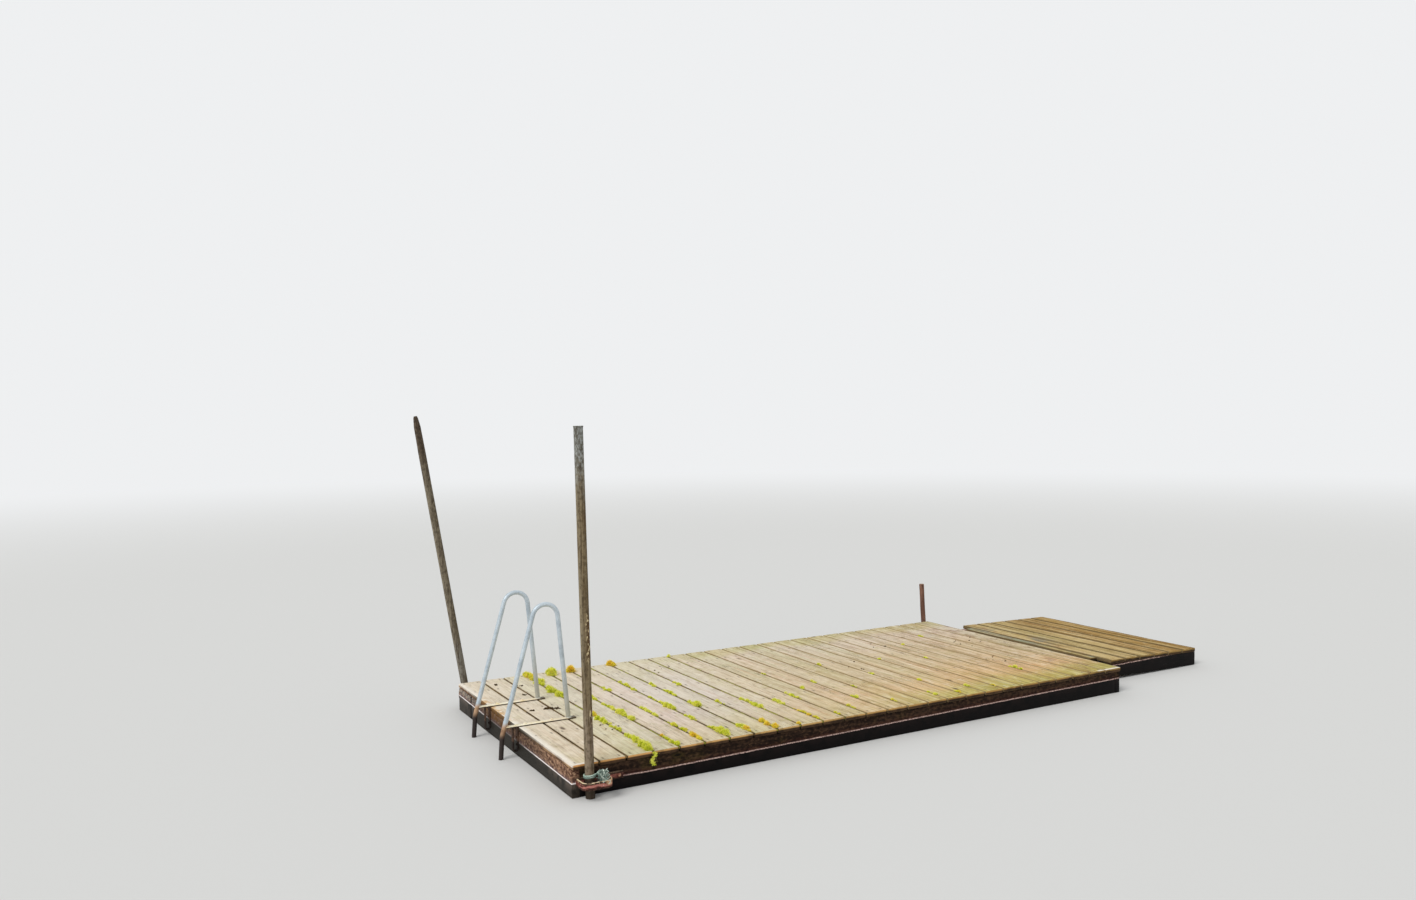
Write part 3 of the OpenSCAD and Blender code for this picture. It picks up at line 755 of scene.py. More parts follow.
def wander(i, turns):
    # How far board i is short of the longest one, as in the frame
    return 0.002 * abs(math.sin(math.radians(i * 7 * 360 / (layout["boardCount"] - 1) * turns)))


def deckBlock(i):
    # Board i lies across the jetty, and each of its ends is short by its own amount
    short, shortFar = wander(i, 1), wander(i, 2)
    block = plank(farY - nearY - short - shortFar, boardWidth, boardThick, 100 + i, **boardSizes)
    return put(block, (lakeX + i * pitch + boardWidth / 2, (short - shortFar) / 2,
                       deckZ - boardThick / 2), (0, 1, 0), (1, 0, 0))


for name, node, first, last in (("boardsLake", "deck_boards_lake", 0, 6),
                                ("boardsLakeMid", "deck_boards_lake_mid", 6, 13),
                                ("boardsShoreMid", "deck_boards_shore_mid", 13, 19),
                                ("boardsShore", "deck_boards_shore", 19, 26)):
    makePiece(name, [deckBlock(i) for i in range(first, last)], deckWood, [node])
print("deck boards made")

# Frame
beamSizes = {"radius": 0.003, "bevel": 0.002, "wear": 0.0014}


def makeBeam(name, seed, xs, ys, finish):
    # A beam fills this much of the plan and lies along its longer way; its node has its name
    spans = xs[1] - xs[0], ys[1] - ys[0]
    ways = ((1, 0, 0), (0, 1, 0)) if spans[0] > spans[1] else ((0, 1, 0), (1, 0, 0))
    block = plank(max(spans), thick, layout["beamHigh"], seed, **beamSizes)
    block = put(block, (sum(xs) / 2, sum(ys) / 2, layout["beamHigh"] / 2), *ways)
    node = "".join("_" + letter.lower() if letter.isupper() else letter for letter in name)
    makePiece(name, [block], finish, [node])


for name, seed, y in (("sideBeamNear", 21, bearerY[0]), ("sideBeamFar", 22, bearerY[4]),
                      ("bearerNear", 23, bearerY[1]), ("bearerMid", 24, bearerY[2]),
                      ("bearerFar", 25, bearerY[3])):
    makeBeam(name, seed, (lakeX + thick, shoreX - thick), (y - thick / 2, y + thick / 2), sideWood)
lakeEnd, halfJoint = (lakeX, lakeX + thick), layout["endJoint"] / 2
makeBeam("lakeEndBeam", 31, lakeEnd, (frameNear, bearerY[3] - halfJoint), endWood)
makeBeam("lakeEndStub", 32, lakeEnd, (bearerY[3] + halfJoint, frameFar), endWood)
makeBeam("shoreEndBeam", 33, (shoreX - thick, shoreX), (frameNear, frameFar), sideWood)
print("frame made")

# Floats
floats = {"length": 1.2, "gap": 0.5}
floatSizes = {"radius": 0.014, "bevel": 0.008, "wear": 0.006}
foamLook = {"pale": paint(214, 212, 198), "stain": paint(150, 138, 104), "dark": paint(86, 80, 58)}


def foamFinish(look):
    # Beads of foam as small cells, with brown stains that grow darker lower down
    f = Finish("stained foam", Roughness=0.85)
    spot = f.spot()
    beads, cloud = f.cells(spot, 210.0), f.noise(spot, 5.0, 4, 0.6)
    soaked = f.split(spot)[2].between(0.11, 0.02) * cloud.between(0.3, 0.6)
    f.set("Base Color", f.coats(f.mix(cloud.between(0.4, 0.65), look["pale"], look["stain"]),
                                (soaked * 0.8, look["dark"]),
                                (beads.between(0.35, 0.8) * 0.35, look["dark"])))
    f.bump(1 - beads, 0.0015, 0.7)
    return f


def makeFloats(at):
    foam, high = foamFinish(foamLook), layout["beamHigh"]
    for row, rowName in ((-1, "lake"), (1, "shore")):
        for k, side in enumerate(("near", "mid", "far")):
            block = plank(at["length"], layout["bearerPitch"] - thick, high, 60 + 3 * row + k,
                          **floatSizes, tone=0.5)
            x = (lakeX + shoreX) / 2 + row * (at["gap"] + at["length"]) / 2
            place = (x, bearerY[k] + layout["bearerPitch"] / 2, high / 2)
            makePiece("foam" + rowName.title() + side.title(),
                      [put(block, place, (1, 0, 0), (0, 1, 0))], foam,
                      ["float_" + rowName + "_" + side])


makeFloats(floats)
print("floats made")

# Ladder
ladder = {
    "planes": (-0.178, 0.327), "tube": 0.0135, "hoopX": 0.1749, "hoopZ": 0.6013, "hoop": 0.077,
    "outerLean": 16.2, "innerLean": 5.3, "foot": 0.308, "out": 0.080, "bendDeep": 0.045,
    "bend": 0.090, "lowerLean": 4.0, "barThick": 0.008, "barWidth": 0.035, "barTail": 0.042,
    "strapWidth": 0.030, "strapThick": 0.006, "strapReach": 0.034, "strapLong": 0.140,
    "barCorner": 0.004, "notchClear": 0.0008, "legSunk": 0.003, "legPast": 0.004,
    "barBolts": (0.045, 0.205), "strapBolts": (0.060, 0.100), "strapBolt": (0.010, 0.008),
    # The weld round the inner leg, as (radius, height) points
    "weld": ((0.0125, -0.001), (0.0182, -0.0005), (0.0178, 0.0012), (0.0158, 0.0030),
             (0.0137, 0.0052), (0.0125, 0.0058)),
}


def railPath(at):
    # Up the straight inner leg, over the hoop's arc, down the outer leg and round the lower arc
    a, b, c = (math.radians(at[k]) for k in ("innerLean", "outerLean", "lowerLean"))
    hoop = arc((at["hoopX"], at["hoopZ"]), at["hoop"], a, math.pi - b, 34)
    corner = -at["out"] - at["bendDeep"] * math.tan(b)
    tangent = at["bend"] * math.tan((b - c) / 2)
    centre = (corner + tangent * math.sin(b) + at["bend"] * math.cos(b),
              -at["bendDeep"] + tangent * math.cos(b) - at["bend"] * math.sin(b))
    low = arc(centre, at["bend"], math.pi - b, math.pi - c, 7)
    rise = at["barThick"] - at["legSunk"]
    foot = (at["foot"] - rise * math.tan(a), rise)
    base = (corner - (deckZ + at["legPast"] - at["bendDeep"]) * math.tan(c), -deckZ - at["legPast"])
    flat = np.concatenate([np.linspace(foot, hoop[0], 16)[:-1], hoop[:-1],
                           np.linspace(hoop[-1], low[0], 16)[:-1], low[:-1],
                           np.linspace(low[-1], base, 6)])
    return np.stack([flat[:, 0] + lakeX, 0 * flat[:, 0], flat[:, 1] + deckZ], 1)


def barPlan(at):
    # A bar with two cut corners at its tail, and a round notch for the outer leg at its front
    start, end = -at["out"] + at["tube"] / 2, at["foot"] + at["barTail"]
    half, cut = at["barWidth"] / 2, at["barCorner"]
    legX = -at["out"] + at["barThick"] / 2 * math.tan(math.radians(at["outerLean"]))
    quarter = math.pi / 2 * 0.98
    notch = arc((legX, 0), at["tube"] + at["notchClear"], quarter, -quarter, 17)
    return np.concatenate([[(start, -half), (end - cut, -half), (end, -half + cut),
                            (end, half - cut), (end - cut, half), (start, half)],
                           notch[notch[:, 0] > start + 0.0006]])


def strapPath(at):
    # Down one leg of the strap, round its lower end and up the other leg
    half = at["strapReach"] / 2
    loop = arc((-half, half - at["strapLong"]), half - at["strapThick"] / 2, 0, -math.pi, 13)
    tops = [(end[0], -0.0005) for end in (loop[0], loop[-1])]
    return np.concatenate([np.linspace(tops[0], loop[0], 8)[:-1], loop,
                           np.linspace(loop[-1], tops[1], 8)[1:]])


def tubeFinish():
    # Dull zinc in pale and dark spangles, with thin streaks. The outer legs are rusty from the
    # deck down and nearly black lower still, and the inner legs' feet are stained beige
    f = Finish("dull zinc tube")
    spot = f.spot()
    x, z = f.split(spot)[::2]
    fromLake = x - lakeX
    spangle = f.split(f.cells(spot, 120.0, output="Color"))[0]
    cloud, fine = f.noise(spot, 14.0, 4, 0.65), f.drawn(spot, (220, 220, 30), 3, 0.6)
    level = z - deckZ + (cloud - 0.5) * 0.03
    rusty = level.between(0.036, 0.002) * fromLake.between(0.05, 0.0)
    rust = f.mix(cloud.between(0.4, 0.6), paint(188, 152, 118), paint(134, 98, 72))
    rust = f.mix(level.between(-0.015, -0.061), rust, paint(40, 29, 25))
    footStain = level.between(0.40, 0.02) * fromLake.between(0.15, 0.2)
    f.set("Base Color", f.coats(
        f.mix(cloud.between(0.35, 0.7), paint(200, 212, 220), paint(168, 182, 192)),
        (spangle * 0.22, paint(222, 230, 236)),
        (fine.between(0.55, 0.75) * 0.35, paint(128, 138, 142)),
        (footStain * 0.6, paint(172, 164, 136)),
        (rusty, rust)))
    f.set("Roughness", 0.38 + cloud * 0.16 + rusty * 0.25)
    f.set("Metallic", 0.35 - rusty * 0.35)
    f.bump(fine * 0.3 + cloud * 0.7, 0.0006, 0.5)
    return f


def barFinish():
    # Cream lime on top and down to half of the sides, which are dark below, partly as painted
    # shade under the lime, and a dark tail
    f = Finish("limed flat bar", Specular_IOR_Level=0.25)
    spot = f.spot()
    x, z = f.split(spot)[::2]
    fromLake = x - lakeX
    cloud, fine = f.noise(spot, 30.0, 4, 0.65), f.noise(spot, 160.0, 3, 0.6)
    top = f.coats(f.mix(cloud.between(0.4, 0.65), paint(255, 248, 226), paint(246, 230, 190)),
                  (fromLake.between(0.06, 0.28) * 0.25, paint(206, 164, 112)),
                  (fine.between(0.58, 0.7) * 0.4, paint(150, 108, 68)),
                  (fromLake.between(0.298, 0.325) * 0.85, paint(62, 52, 40)))
    # the sides' dark colour, partly painted shade under the lime
    side = f.mix(cloud.between(0.4, 0.6), paint(46, 35, 28), paint(70, 50, 37))
    lime = (z - deckZ + (fine - 0.5) * 0.004).between(0.0045, 0.0060)
    f.set("Base Color", f.mix(f.facing()[2].between(0.15, 0.5).most(lime), side, top))
    f.set("Roughness", 0.55 + cloud * 0.25)
    f.bump(fine * 0.6 + cloud * 0.6, 0.0008, 0.7)
    return f


def hangerFinish():
    # Rust in three tones: broad clouds, pale flecks and a crust of small cells, black where wet
    f = Finish("hanger rust", Specular_IOR_Level=0.2)
    spot = f.spot()
    cloud, fine = f.noise(spot, 22.0, 4, 0.65), f.noise(spot, 240.0, 3, 0.7)
    crust = f.cells(spot, 260.0)
    f.set("Base Color", f.coats(
        f.mix(cloud.between(0.4, 0.62), paint(98, 72, 56), paint(52, 40, 34)),
        (fine.between(0.5, 0.7) * 0.5, paint(146, 114, 84)),
        (crust.between(0.45, 0.1) * 0.3, paint(48, 36, 32)),
        (f.split(spot)[2].between(0.097, 0.085) * 0.85, paint(26, 20, 18))))
    f.set("Roughness", 0.65 + cloud * 0.25)
    f.bump(fine * 0.5 + cloud * 0.8 - crust.between(0.4, 0.0) * 0.3, 0.0011, 0.9)
    return f


guides = {"length": 0.165, "reach": 0.112, "barHigh": 0.040, "barThick": 0.006, "corner": 0.040,
          "tail": 0.095, "drop": 0.072, "nearX": 0.1056, "farX": 0.1029,
          "tailBolts": (0.022, 0.072), "loopBolt": 0.030, "bolt": (0.015, 0.0125)}


def guideFinish(top):
    # Flaking paint and lime on rust, in bands down from the upper edge: cream, partly a painted
    # highlight along the lit edge, dark with short upright ticks, pink, and dark red. The loop's
    # shoreward corner carries a painted highlight. Noise makes the bands' edges ragged
    f = Finish("flaking guide rust", Specular_IOR_Level=0.15)
    spot = f.spot()
    x, y, z = f.split(spot)
    cloud, fine = f.noise(spot, 26.0, 4, 0.65), f.noise(spot, 260.0, 3, 0.7)
    ticks, flake = f.drawn(spot, (190, 190, 25), 3, 0.6), f.drawn(spot, (30, 30, 75), 4, 0.65)
    depth = top - z + (cloud - 0.5) * 0.012 + (fine - 0.5) * 0.004
    loop = abs(y).between(0.990, 0.996)
    pink = flake.between(0.53, 0.47) * depth.between(0.010, 0.014) * depth.between(0.031, 0.025)
    # cream lime along the upper edge, partly a painted highlight
    lime = depth.between(0.005, 0.0025) * flake.between(0.60, 0.50) * (loop * 0.9 + 0.1)
    # a painted highlight on the loop's shoreward corner
    cornerHighlight = (x - lakeX).between(0.1325, 0.1575) * loop * flake.between(0.50, 0.56)
    f.set("Base Color", f.coats(
        f.mix(cloud.between(0.4, 0.6), paint(112, 62, 52), paint(66, 38, 33)),
        (pink * 0.85 * (0.25 + loop * 0.75), paint(196, 128, 116)),
        (depth.between(0.012, 0.009) * 0.85, paint(52, 40, 32)),
        (depth.between(0.012, 0.008) * ticks.between(0.56, 0.64) * 0.85 * loop, paint(214, 176, 136)),
        (lime, paint(240, 216, 178)),
        (cornerHighlight * 0.8, paint(236, 190, 148)),
        (depth.between(0.028, 0.036) * 0.75, paint(34, 26, 22)),
        (fine.between(0.58, 0.7) * 0.4, paint(226, 188, 150)),
        (fine.between(0.42, 0.32) * 0.5, paint(46, 30, 26))))
    f.set("Roughness", 0.65 + cloud * 0.25)
    f.bump(fine * 0.5 + cloud * 0.9, 0.0011, 0.9)
    return f


zincTube = tubeFinish()
limeBar = barFinish()
hangerRust = hangerFinish()
guideRust = guideFinish(deckZ - guides["drop"])


def around(outline, inset):
    # The closed outline moved inwards: each corner goes along its two edges' summed normals
    edge = unit(np.roll(outline, -1, 0) - outline)
    normal = np.stack([edge[:, 1], -edge[:, 0]], 1)
    before = np.roll(normal, 1, 0)
    dot = (normal * before).sum(1, keepdims=True)
    return outline - inset * (normal + before) / np.maximum(1 + dot, 0.3)


def slab(outline, low, high, bevel):
    # A plan outline, anticlockwise, carried upwards, with both rims bevelled in two steps
    rings = []
    for inset, z in ((bevel, low), (bevel * 0.3, low + bevel * 0.3), (0, low + bevel),
                     (0, high - bevel), (bevel * 0.3, high - bevel * 0.3), (bevel, high)):
        flat = around(outline, inset)
        rings.append(np.column_stack([flat, np.full(len(flat), z)]))
    return {"rings": np.array(rings)}


def flatBar(path, wide, width, thick, radius=0.0012):
    # A rounded flat section carried along a path; its width lies along the direction wide
    heading = unit(np.gradient(path, axis=0))
    side = np.broadcast_to(np.array(wide, float), heading.shape)
    return sweep(path, side, np.cross(heading, side), roundedBox(width, thick, radius, 3, 1)[0])


def hexagon(across, low, high, bevel=0.0006):
    # Six corners on a circle, so that opposite flats are this far apart
    turn = fullTurn(6)
    outline = across / math.sqrt(3) * np.stack([np.cos(turn), np.sin(turn)], 1)
    return slab(outline, low, high, bevel)["rings"]


def coachBolt(head=0.013, washer=0.011):
    # A hexagonal head on a washer with a rounded rim, standing on z = 0
    disc = lathe([(washer, -0.001), (washer, 0.0012), (washer - 0.0006, 0.0018), (0.003, 0.0019)],
                 20)
    return [disc, hexagon(head, 0.0017, 0.0075)]


def turnTo(rings, normal, origin):
    # Turns a shape that stands on z = 0 so that it stands on a face with this normal
    up = unit(np.array(normal, float))
    side = unit(np.cross(up, (0.3, 0.2, 0.9) if abs(up[2]) < 0.9 else (1, 0, 0)))
    return {"rings": rings @ np.array([side, np.cross(up, side), up]) + np.array(origin, float)}


def bolts(places, normal, sizes=()):
    # A bolt at each place on one face
    return [turnTo(part, normal, place) for place in places for part in coachBolt(*sizes)]


def makeLadder(at):
    # Each side is a rail welded to a flat bar, with a strap under the bar's lake end
    rail, plan, strap = tube(railPath(at), at["tube"], 32), barPlan(at), strapPath(at)
    a, top = math.radians(at["innerLean"]), deckZ + at["barThick"]
    for y, side in zip(at["planes"], ("Near", "Far")):
        foot = (lakeX + at["foot"] - at["barThick"] * math.tan(a), y, top)
        makePiece("rail" + side, [{"rings": aboveFloor(rail["rings"] + (0, y, 0))},
                                  turnTo(lathe(at["weld"], 28), (-math.sin(a), 0, math.cos(a)), foot)],
                  zincTube, ["ladder_rail_" + side.lower()])
        heads = bolts([(lakeX + x, y, top) for x in at["barBolts"]], (0, 0, 1))
        makePiece("bar" + side, [slab(plan + (lakeX, y), deckZ, top, 0.0012)] + heads, limeBar,
                  ["ladder_bar_" + side.lower()])
        path = np.stack([strap[:, 0] + lakeX, 0 * strap[:, 0] + y, strap[:, 1] + deckZ], 1)
        heads = bolts([(lakeX - at["strapThick"], y, deckZ - low) for low in at["strapBolts"]],
                      (-1, 0, 0), at["strapBolt"])
        makePiece("hanger" + side,
                  [flatBar(path, (0, 1, 0), at["strapWidth"], at["strapThick"])] + heads,
                  hangerRust, ["ladder_hanger_" + side.lower()])


makeLadder(ladder)
print("ladder made")

# The poles' finishes
greyLook = {
    "pale": paint(138, 122, 94), "mid": paint(104, 88, 64), "dark": paint(60, 49, 36),
    "brown": paint(92, 68, 44), "fleck": paint(226, 206, 162), "top": paint(160, 164, 162),
    "topDark": paint(106, 106, 100), "lit": paint(148, 136, 112), "foot": paint(148, 132, 116),
    "wet": paint(50, 42, 36),
}
darkLook = {
    "pale": paint(130, 120, 102), "mid": paint(100, 90, 75), "dark": paint(58, 50, 42),
    "brown": paint(80, 68, 52), "fleck": paint(156, 146, 122), "top": paint(92, 78, 64),
    "topDark": paint(62, 50, 41), "lit": paint(146, 136, 118), "foot": paint(128, 127, 123),
    "wet": paint(48, 42, 38),
}


def poleFinish(name, look, patches):
    # Upright weather streaks, paler round the foot and on the lakeward side, whose paleness is
    # partly bleaching and partly a painted highlight; another tone near the top; dark from the
    # guide's top down, wet at the tide mark and painted shade inside the guide; and brown patches
    # with beige flecks of lichen. Each patch is its middle height, half its height and its strength,
    # and faces the shore end
    f = Finish(name, Roughness=0.85, Specular_IOR_Level=0.12)
    spot = f.spot()
    z, side = f.split(spot)[2], f.facing()[0]
    streak = f.drawn(spot, (110, 110, 3.2), 4, 0.6)
    cloud = f.drawn(spot, (18, 18, 5), 4, 0.6)
    fine = f.noise(spot, 210.0, 3, 0.7)
    spots = f.drawn(spot, (85, 85, 45), 3, 0.6)
    blot = f.drawn(spot, (60, 60, 40), 4, 0.7)
    foot = (z - deckZ).between(0.34, 0.20) * streak.between(0.62, 0.45)
    high = (z + (cloud - 0.5) * 0.3).between(1.45, 1.75)
    base = f.coats(
        f.mix(streak.between(0.38, 0.6), look["pale"], look["mid"]),
        # a painted highlight on the lakeward side, partly bleaching
        (side.between(-0.35, -0.95) * 0.65, look["lit"]),
        (cloud.between(0.52, 0.66) * 0.45, look["brown"]),
        (foot * 0.6, look["foot"]),
        (high * 0.85, f.mix(spots.between(0.42, 0.58), look["top"], look["topDark"])),
        (streak.between(0.56, 0.70) * 0.75, look["dark"]))
    for middle, half, strength in patches:
        here = abs(z - middle + (cloud - 0.5) * 0.12).between(half, half * 0.45) * strength
        here = here * (side + (spots - 0.5) * 0.9).between(-0.35, 0.25)
        base = f.coats(base, (here * 0.85, look["brown"]),
                       (here * spots.between(0.54, 0.60), look["fleck"]))
    f.set("Base Color", f.coats(
        base,
        (blot.between(0.50, 0.60) * 0.5, look["dark"]),
        (blot.between(0.42, 0.34) * 0.45, look["lit"]),
        (fine.between(0.58, 0.75) * 0.4, look["dark"]),
        # dark below the guide's top: wet, and painted shade inside the guide
        ((z + (cloud - 0.5) * 0.02).between(0.106, 0.098) * 0.85, look["wet"])))
    f.bump(fine * 0.5 + streak * 0.5 + spots.between(0.54, 0.6) * 0.3, 0.0008, 0.7)
    return f


poleGrey = poleFinish("grey weathered pole", greyLook, ((0.82, 0.17, 1.0), (0.425, 0.06, 0.8)))
poleDark = poleFinish("dark weathered pole", darkLook, ((0.60, 0.12, 0.4), (1.30, 0.14, 0.5)))


def poleFoot(x, pole):
    # How far below the deck a pole's line at x meets the floor, along the pole
    a = math.radians(pole["lean"])
    return -(deckZ + x * math.sin(a)) / math.cos(a)


def pipeBlock(pole, seed):
    # Rings up the outside and down the bore; each point's lowest height is where z is 0
    rng = np.random.default_rng(seed)
    turn, share = fullTurn(pole["sides"]), np.linspace(0, 1, 60)[:, None]
    wave = waves(rng, share * pole["top"] + 0 * turn, poles["waves"], (pole["sides"],))
    dent = poles["dented"] * (0.5 + 0.5 * wave)
    rings = []
    for r, way in ((poles["radius"] - dent, 1), (poles["radius"] - poles["wall"] + 0 * dent, -1)):
        x, y = r * np.cos(turn), r * np.sin(turn)
        heights = poleFoot(x, pole) * (1 - share) + pole["top"] * share
        rings.append(np.stack([x, y, heights], -1)[::way])
    return {"rings": onPole(np.concatenate(rings), pole), "closed": True}


def woodPoleBlock(pole, at, seed):
    # Rings up a round pole that thins to its worn top. Slow waves take a little off, and splits
    # are narrow notches that open and close with height
    rng = np.random.default_rng(seed)
    neck, turn = pole["top"] - at["neck"], fullTurn(pole["sides"])
    heights = np.concatenate([[-1], np.linspace(-0.16, neck - at["thinning"], 50)[1:],
                              np.linspace(neck - at["thinning"], neck, 10)[1:],
                              np.linspace(neck, pole["top"], 6)[1:]])[:, None]
    full = np.interp(heights, (neck - at["thinning"], neck, pole["top"] - 0.003, pole["top"]),
                     (at["radius"], at["neckRadius"], at["topRadius"], at["topRadius"] * 0.75))
    wave = waves(rng, heights + 0 * turn, at["waves"], (pole["sides"],))
    notch = np.zeros(wave.shape)
    for column, middle, half in at["splits"]:
        notch[:, column] = np.clip(1 - ((heights[:, 0] - middle) / half) ** 2, 0, 1)
    r = full - at["worn"] * (0.5 + 0.5 * wave) - at["splitDeep"] * notch
    x, y = r * np.cos(turn), r * np.sin(turn)
    return {"rings": onPole(np.stack([x, y, np.maximum(heights, poleFoot(x, pole))], -1), pole)}


makePiece("poleNear", [pipeBlock(poles["near"], 81)], poleGrey, ["mooring_pole_near"])
makePiece("poleFar", [woodPoleBlock(poles["far"], poles, 82)], poleDark,
          ["mooring_pole_far"], 50)
capRadius, capThick = poles["radius"] + poles["capLip"], poles["capThick"]
cap = lathe([(capRadius - 0.001, 0), (capRadius, 0.0006), (capRadius, capThick - 0.0018),
             (capRadius - 0.0007, capThick - 0.0006), (capRadius - 0.0022, capThick - 0.0001),
             (capRadius * 0.5, capThick)], 36) + (0, 0, poles["near"]["top"])
makePiece("capNear", [{"rings": onPole(cap, poles["near"])}], poleGrey,
          ["pole_cap_near"])
print("poles made")


# Pole guides

def makeGuide(name, node, x, mirrored, at):
    # A loop of flat bar: out from the beam, round two quarter circles, and back to its back bar
    t, r, high = at["barThick"], at["corner"], at["barHigh"]
    half, c = (at["length"] - t) / 2, r - t / 2
    middle, z = lakeX + x, deckZ - at["drop"] - high / 2
    corner = arc((c - half, r - at["reach"]), c, math.pi, math.pi * 1.5, 9)
    left = np.concatenate([np.linspace((-half, 0.001 - t), corner[0], 5)[:-1], corner])
    right = left[::-1] * (-1, 1)
    flat = np.concatenate([left, np.linspace(left[-1], right[0], 6)[1:-1], right])
    path = np.column_stack([flat + (middle, frameNear), np.full(len(flat), z)])
    start, end = middle - at["length"] / 2, middle + at["length"] / 2 + at["tail"]
    back = np.array([(start, frameNear - t), (end, frameNear - t), (end, frameNear),
                     (start, frameNear)])
    blocks = [flatBar(path, (0, 0, 1), high, t, 0.0014), slab(back, z - high / 2, z + high / 2, 0.0012)]
    rise = np.linspace(-0.46, 0.46, 15) * high
    for s in (-1, 1):  # a weld bead at each leg of the loop
        bead = np.stack([0 * rise + middle + s * (half - t * 0.6),
                         0 * rise + frameNear - t - 0.0008, rise + z], 1)
        blocks.append(tube(bead, 0.0018 + 0.0005 * np.sin(np.arange(len(rise)) * 2.1), 8))
    places = [middle + at["length"] / 2 + d for d in at["tailBolts"]]
    if not mirrored:
        places.append(start + at["loopBolt"])
    blocks += bolts([(place, frameNear - t, z) for place in places], (0, -1, 0), at["bolt"])
    if mirrored:
        blocks = [{**block, "rings": block["rings"] * (1, -1, 1)} for block in blocks]
    makePiece(name, blocks, guideRust, [node])


makeGuide("guideNear", "pole_guide_near", guides["nearX"], False, guides)
makeGuide("guideFar", "pole_guide_far", guides["farX"], True, guides)
print("guides made")

# Shore stake
stake = {"x": -0.028, "y": 1.0113, "lean": 3.0, "top": 0.315, "radius": 0.021, "chamfer": 0.005,
         "sides": 28, "rings": 26, "waves": (0.31, 0.12, 0.05), "dented": 0.0022, "lumps": 0.0008}


def stakeFinish():
    # A barked and weathered round stake: grey red wood, fibres up its length, dark splits
    f = Finish("weathered stake", Roughness=0.85, Specular_IOR_Level=0.25)
    spot = f.spot()
    z = f.split(spot)[2] - deckZ
    fibre, slow = f.drawn(spot, (260, 260, 9), 4, 0.6), f.drawn(spot, (34, 34, 5), 3, 0.6)
    split = abs(f.drawn(spot, (70, 70, 3), 1.5) - 0.5).between(0.03, 0.0)
    end = z.between(stake["top"] - 0.004, stake["top"] - 0.0015)
    f.set("Base Color", f.coats(
        f.mix(slow.between(0.35, 0.65), paint(150, 112, 94), paint(104, 74, 62)),
        (fibre.between(0.45, 0.7) * 0.5, paint(74, 50, 44)),
        (split, paint(36, 26, 24)),
        (z.between(-0.053, -0.123) * 0.7, paint(44, 32, 28)),
        (end * 0.6, paint(176, 148, 122))))
    f.bump(fibre * 0.6 + slow * 0.6 - split * 1.5, 0.0012, 0.9)
    return f


def stakeBlock(at, seed):
    # Rings up a leaning axis: slow waves take a little off the radius, and the top is chamfered
    rng = np.random.default_rng(seed)
    turn, chamfer, top = fullTurn(at["sides"]), at["chamfer"], at["top"] + deckZ
    heights = np.concatenate([np.linspace(0, top - chamfer, at["rings"]),
                              [top - chamfer * 0.35, top]])[:, None]
    inset = np.concatenate([np.zeros(at["rings"]), [chamfer * 0.55, chamfer * 1.6]])[:, None]
    wave = waves(rng, heights + 0.02 * np.sin(3 * turn), at["waves"], (at["sides"],))
    lump = at["lumps"] * (1 + np.sin(turn * 3 + heights * 9))
    r = at["radius"] - at["dented"] * (0.5 + 0.5 * wave) - lump - inset
    z = heights - deckZ + 0 * r
    z[-1] += 0.0015 * np.cos(turn + 1) - 0.0015
    rings = np.stack([r * np.cos(turn), r * np.sin(turn), z], -1)
    return {"rings": aboveFloor(onPole(rings, at, shoreX))}


makePiece("stakeFar", [stakeBlock(stake, 91)], stakeFinish(), ["shore_stake"])

# Landing section
landing = {
    "y": 0.030, "z": 0.15149, "slope": 1.2, "start": 0.208, "count": 6, "width": 1.520,
    "coverStart": 0.134, "coverWidth": 0.065, "coverLong": 1.280, "stringerPitch": 1.465 / 3,
    "stringerThick": 0.045, "stringerHigh": 0.100, "length": 1.123,
}
slope = math.radians(landing["slope"])
down, lift = (math.cos(slope), 0, -math.sin(slope)), (math.sin(slope), 0, math.cos(slope))


def onLanding(points):
    # Points along, across and up from the seam, where the landing section's top begins to slope
    return np.array((shoreX, landing["y"], landing["z"])) + points @ np.array([down, (0, 1, 0), lift])


landingLook = {**deckLook, "tan": paint(210, 188, 132), "mud": paint(184, 150, 86),
               "worn": paint(226, 208, 164), "damp": paint(112, 118, 102), "cover": paint(160, 168, 156),
               "seam": paint(84, 72, 52), "streak": 1.0, "end": paint(84, 62, 40),
               "endDark": paint(48, 36, 26), "step": pitch * math.cos(slope),
               "first": shoreX + (landing["start"] + boardWidth / 2) * math.cos(slope),
               "ragged": 0.030, "rimStart": 0.048, "rim": 0.85, "rimDirt": paint(92, 78, 44)}


def landingGround(f, x, y, cloud, look):
    # Olive tan, browner away from the seam, with grey green damp patches just beyond it. The
    # seam's cover board is blue grey over painted shade of the seam, and litter has stained the
    # boards on both its sides
    along = x - shoreX + (cloud - 0.5) * 0.4
    patch = f.noise(f.spot(), 5.5, 3, 0.55)
    damp = along.between(0.50, 0.20) * patch.between(0.44, 0.56) * abs(y - 0.25).between(0.5, 0.25)
    cover = (x - shoreX).between(0.22, 0.195)
    base = f.coats(f.mix(along.between(0.45, 1.05), look["tan"], look["mud"]),
                   (damp * 0.7, look["damp"]),
                   (litterStain(f) * (x - shoreX).between(0.5, 0.2) * 0.5, look["litter"]),
                   # painted shade of the seam, over the cover board and the next board's edge
                   (cover * 0.25, look["seam"]),
                   (cover * patch.between(0.54, 0.44) * 0.75, look["cover"]))
    return base, damp


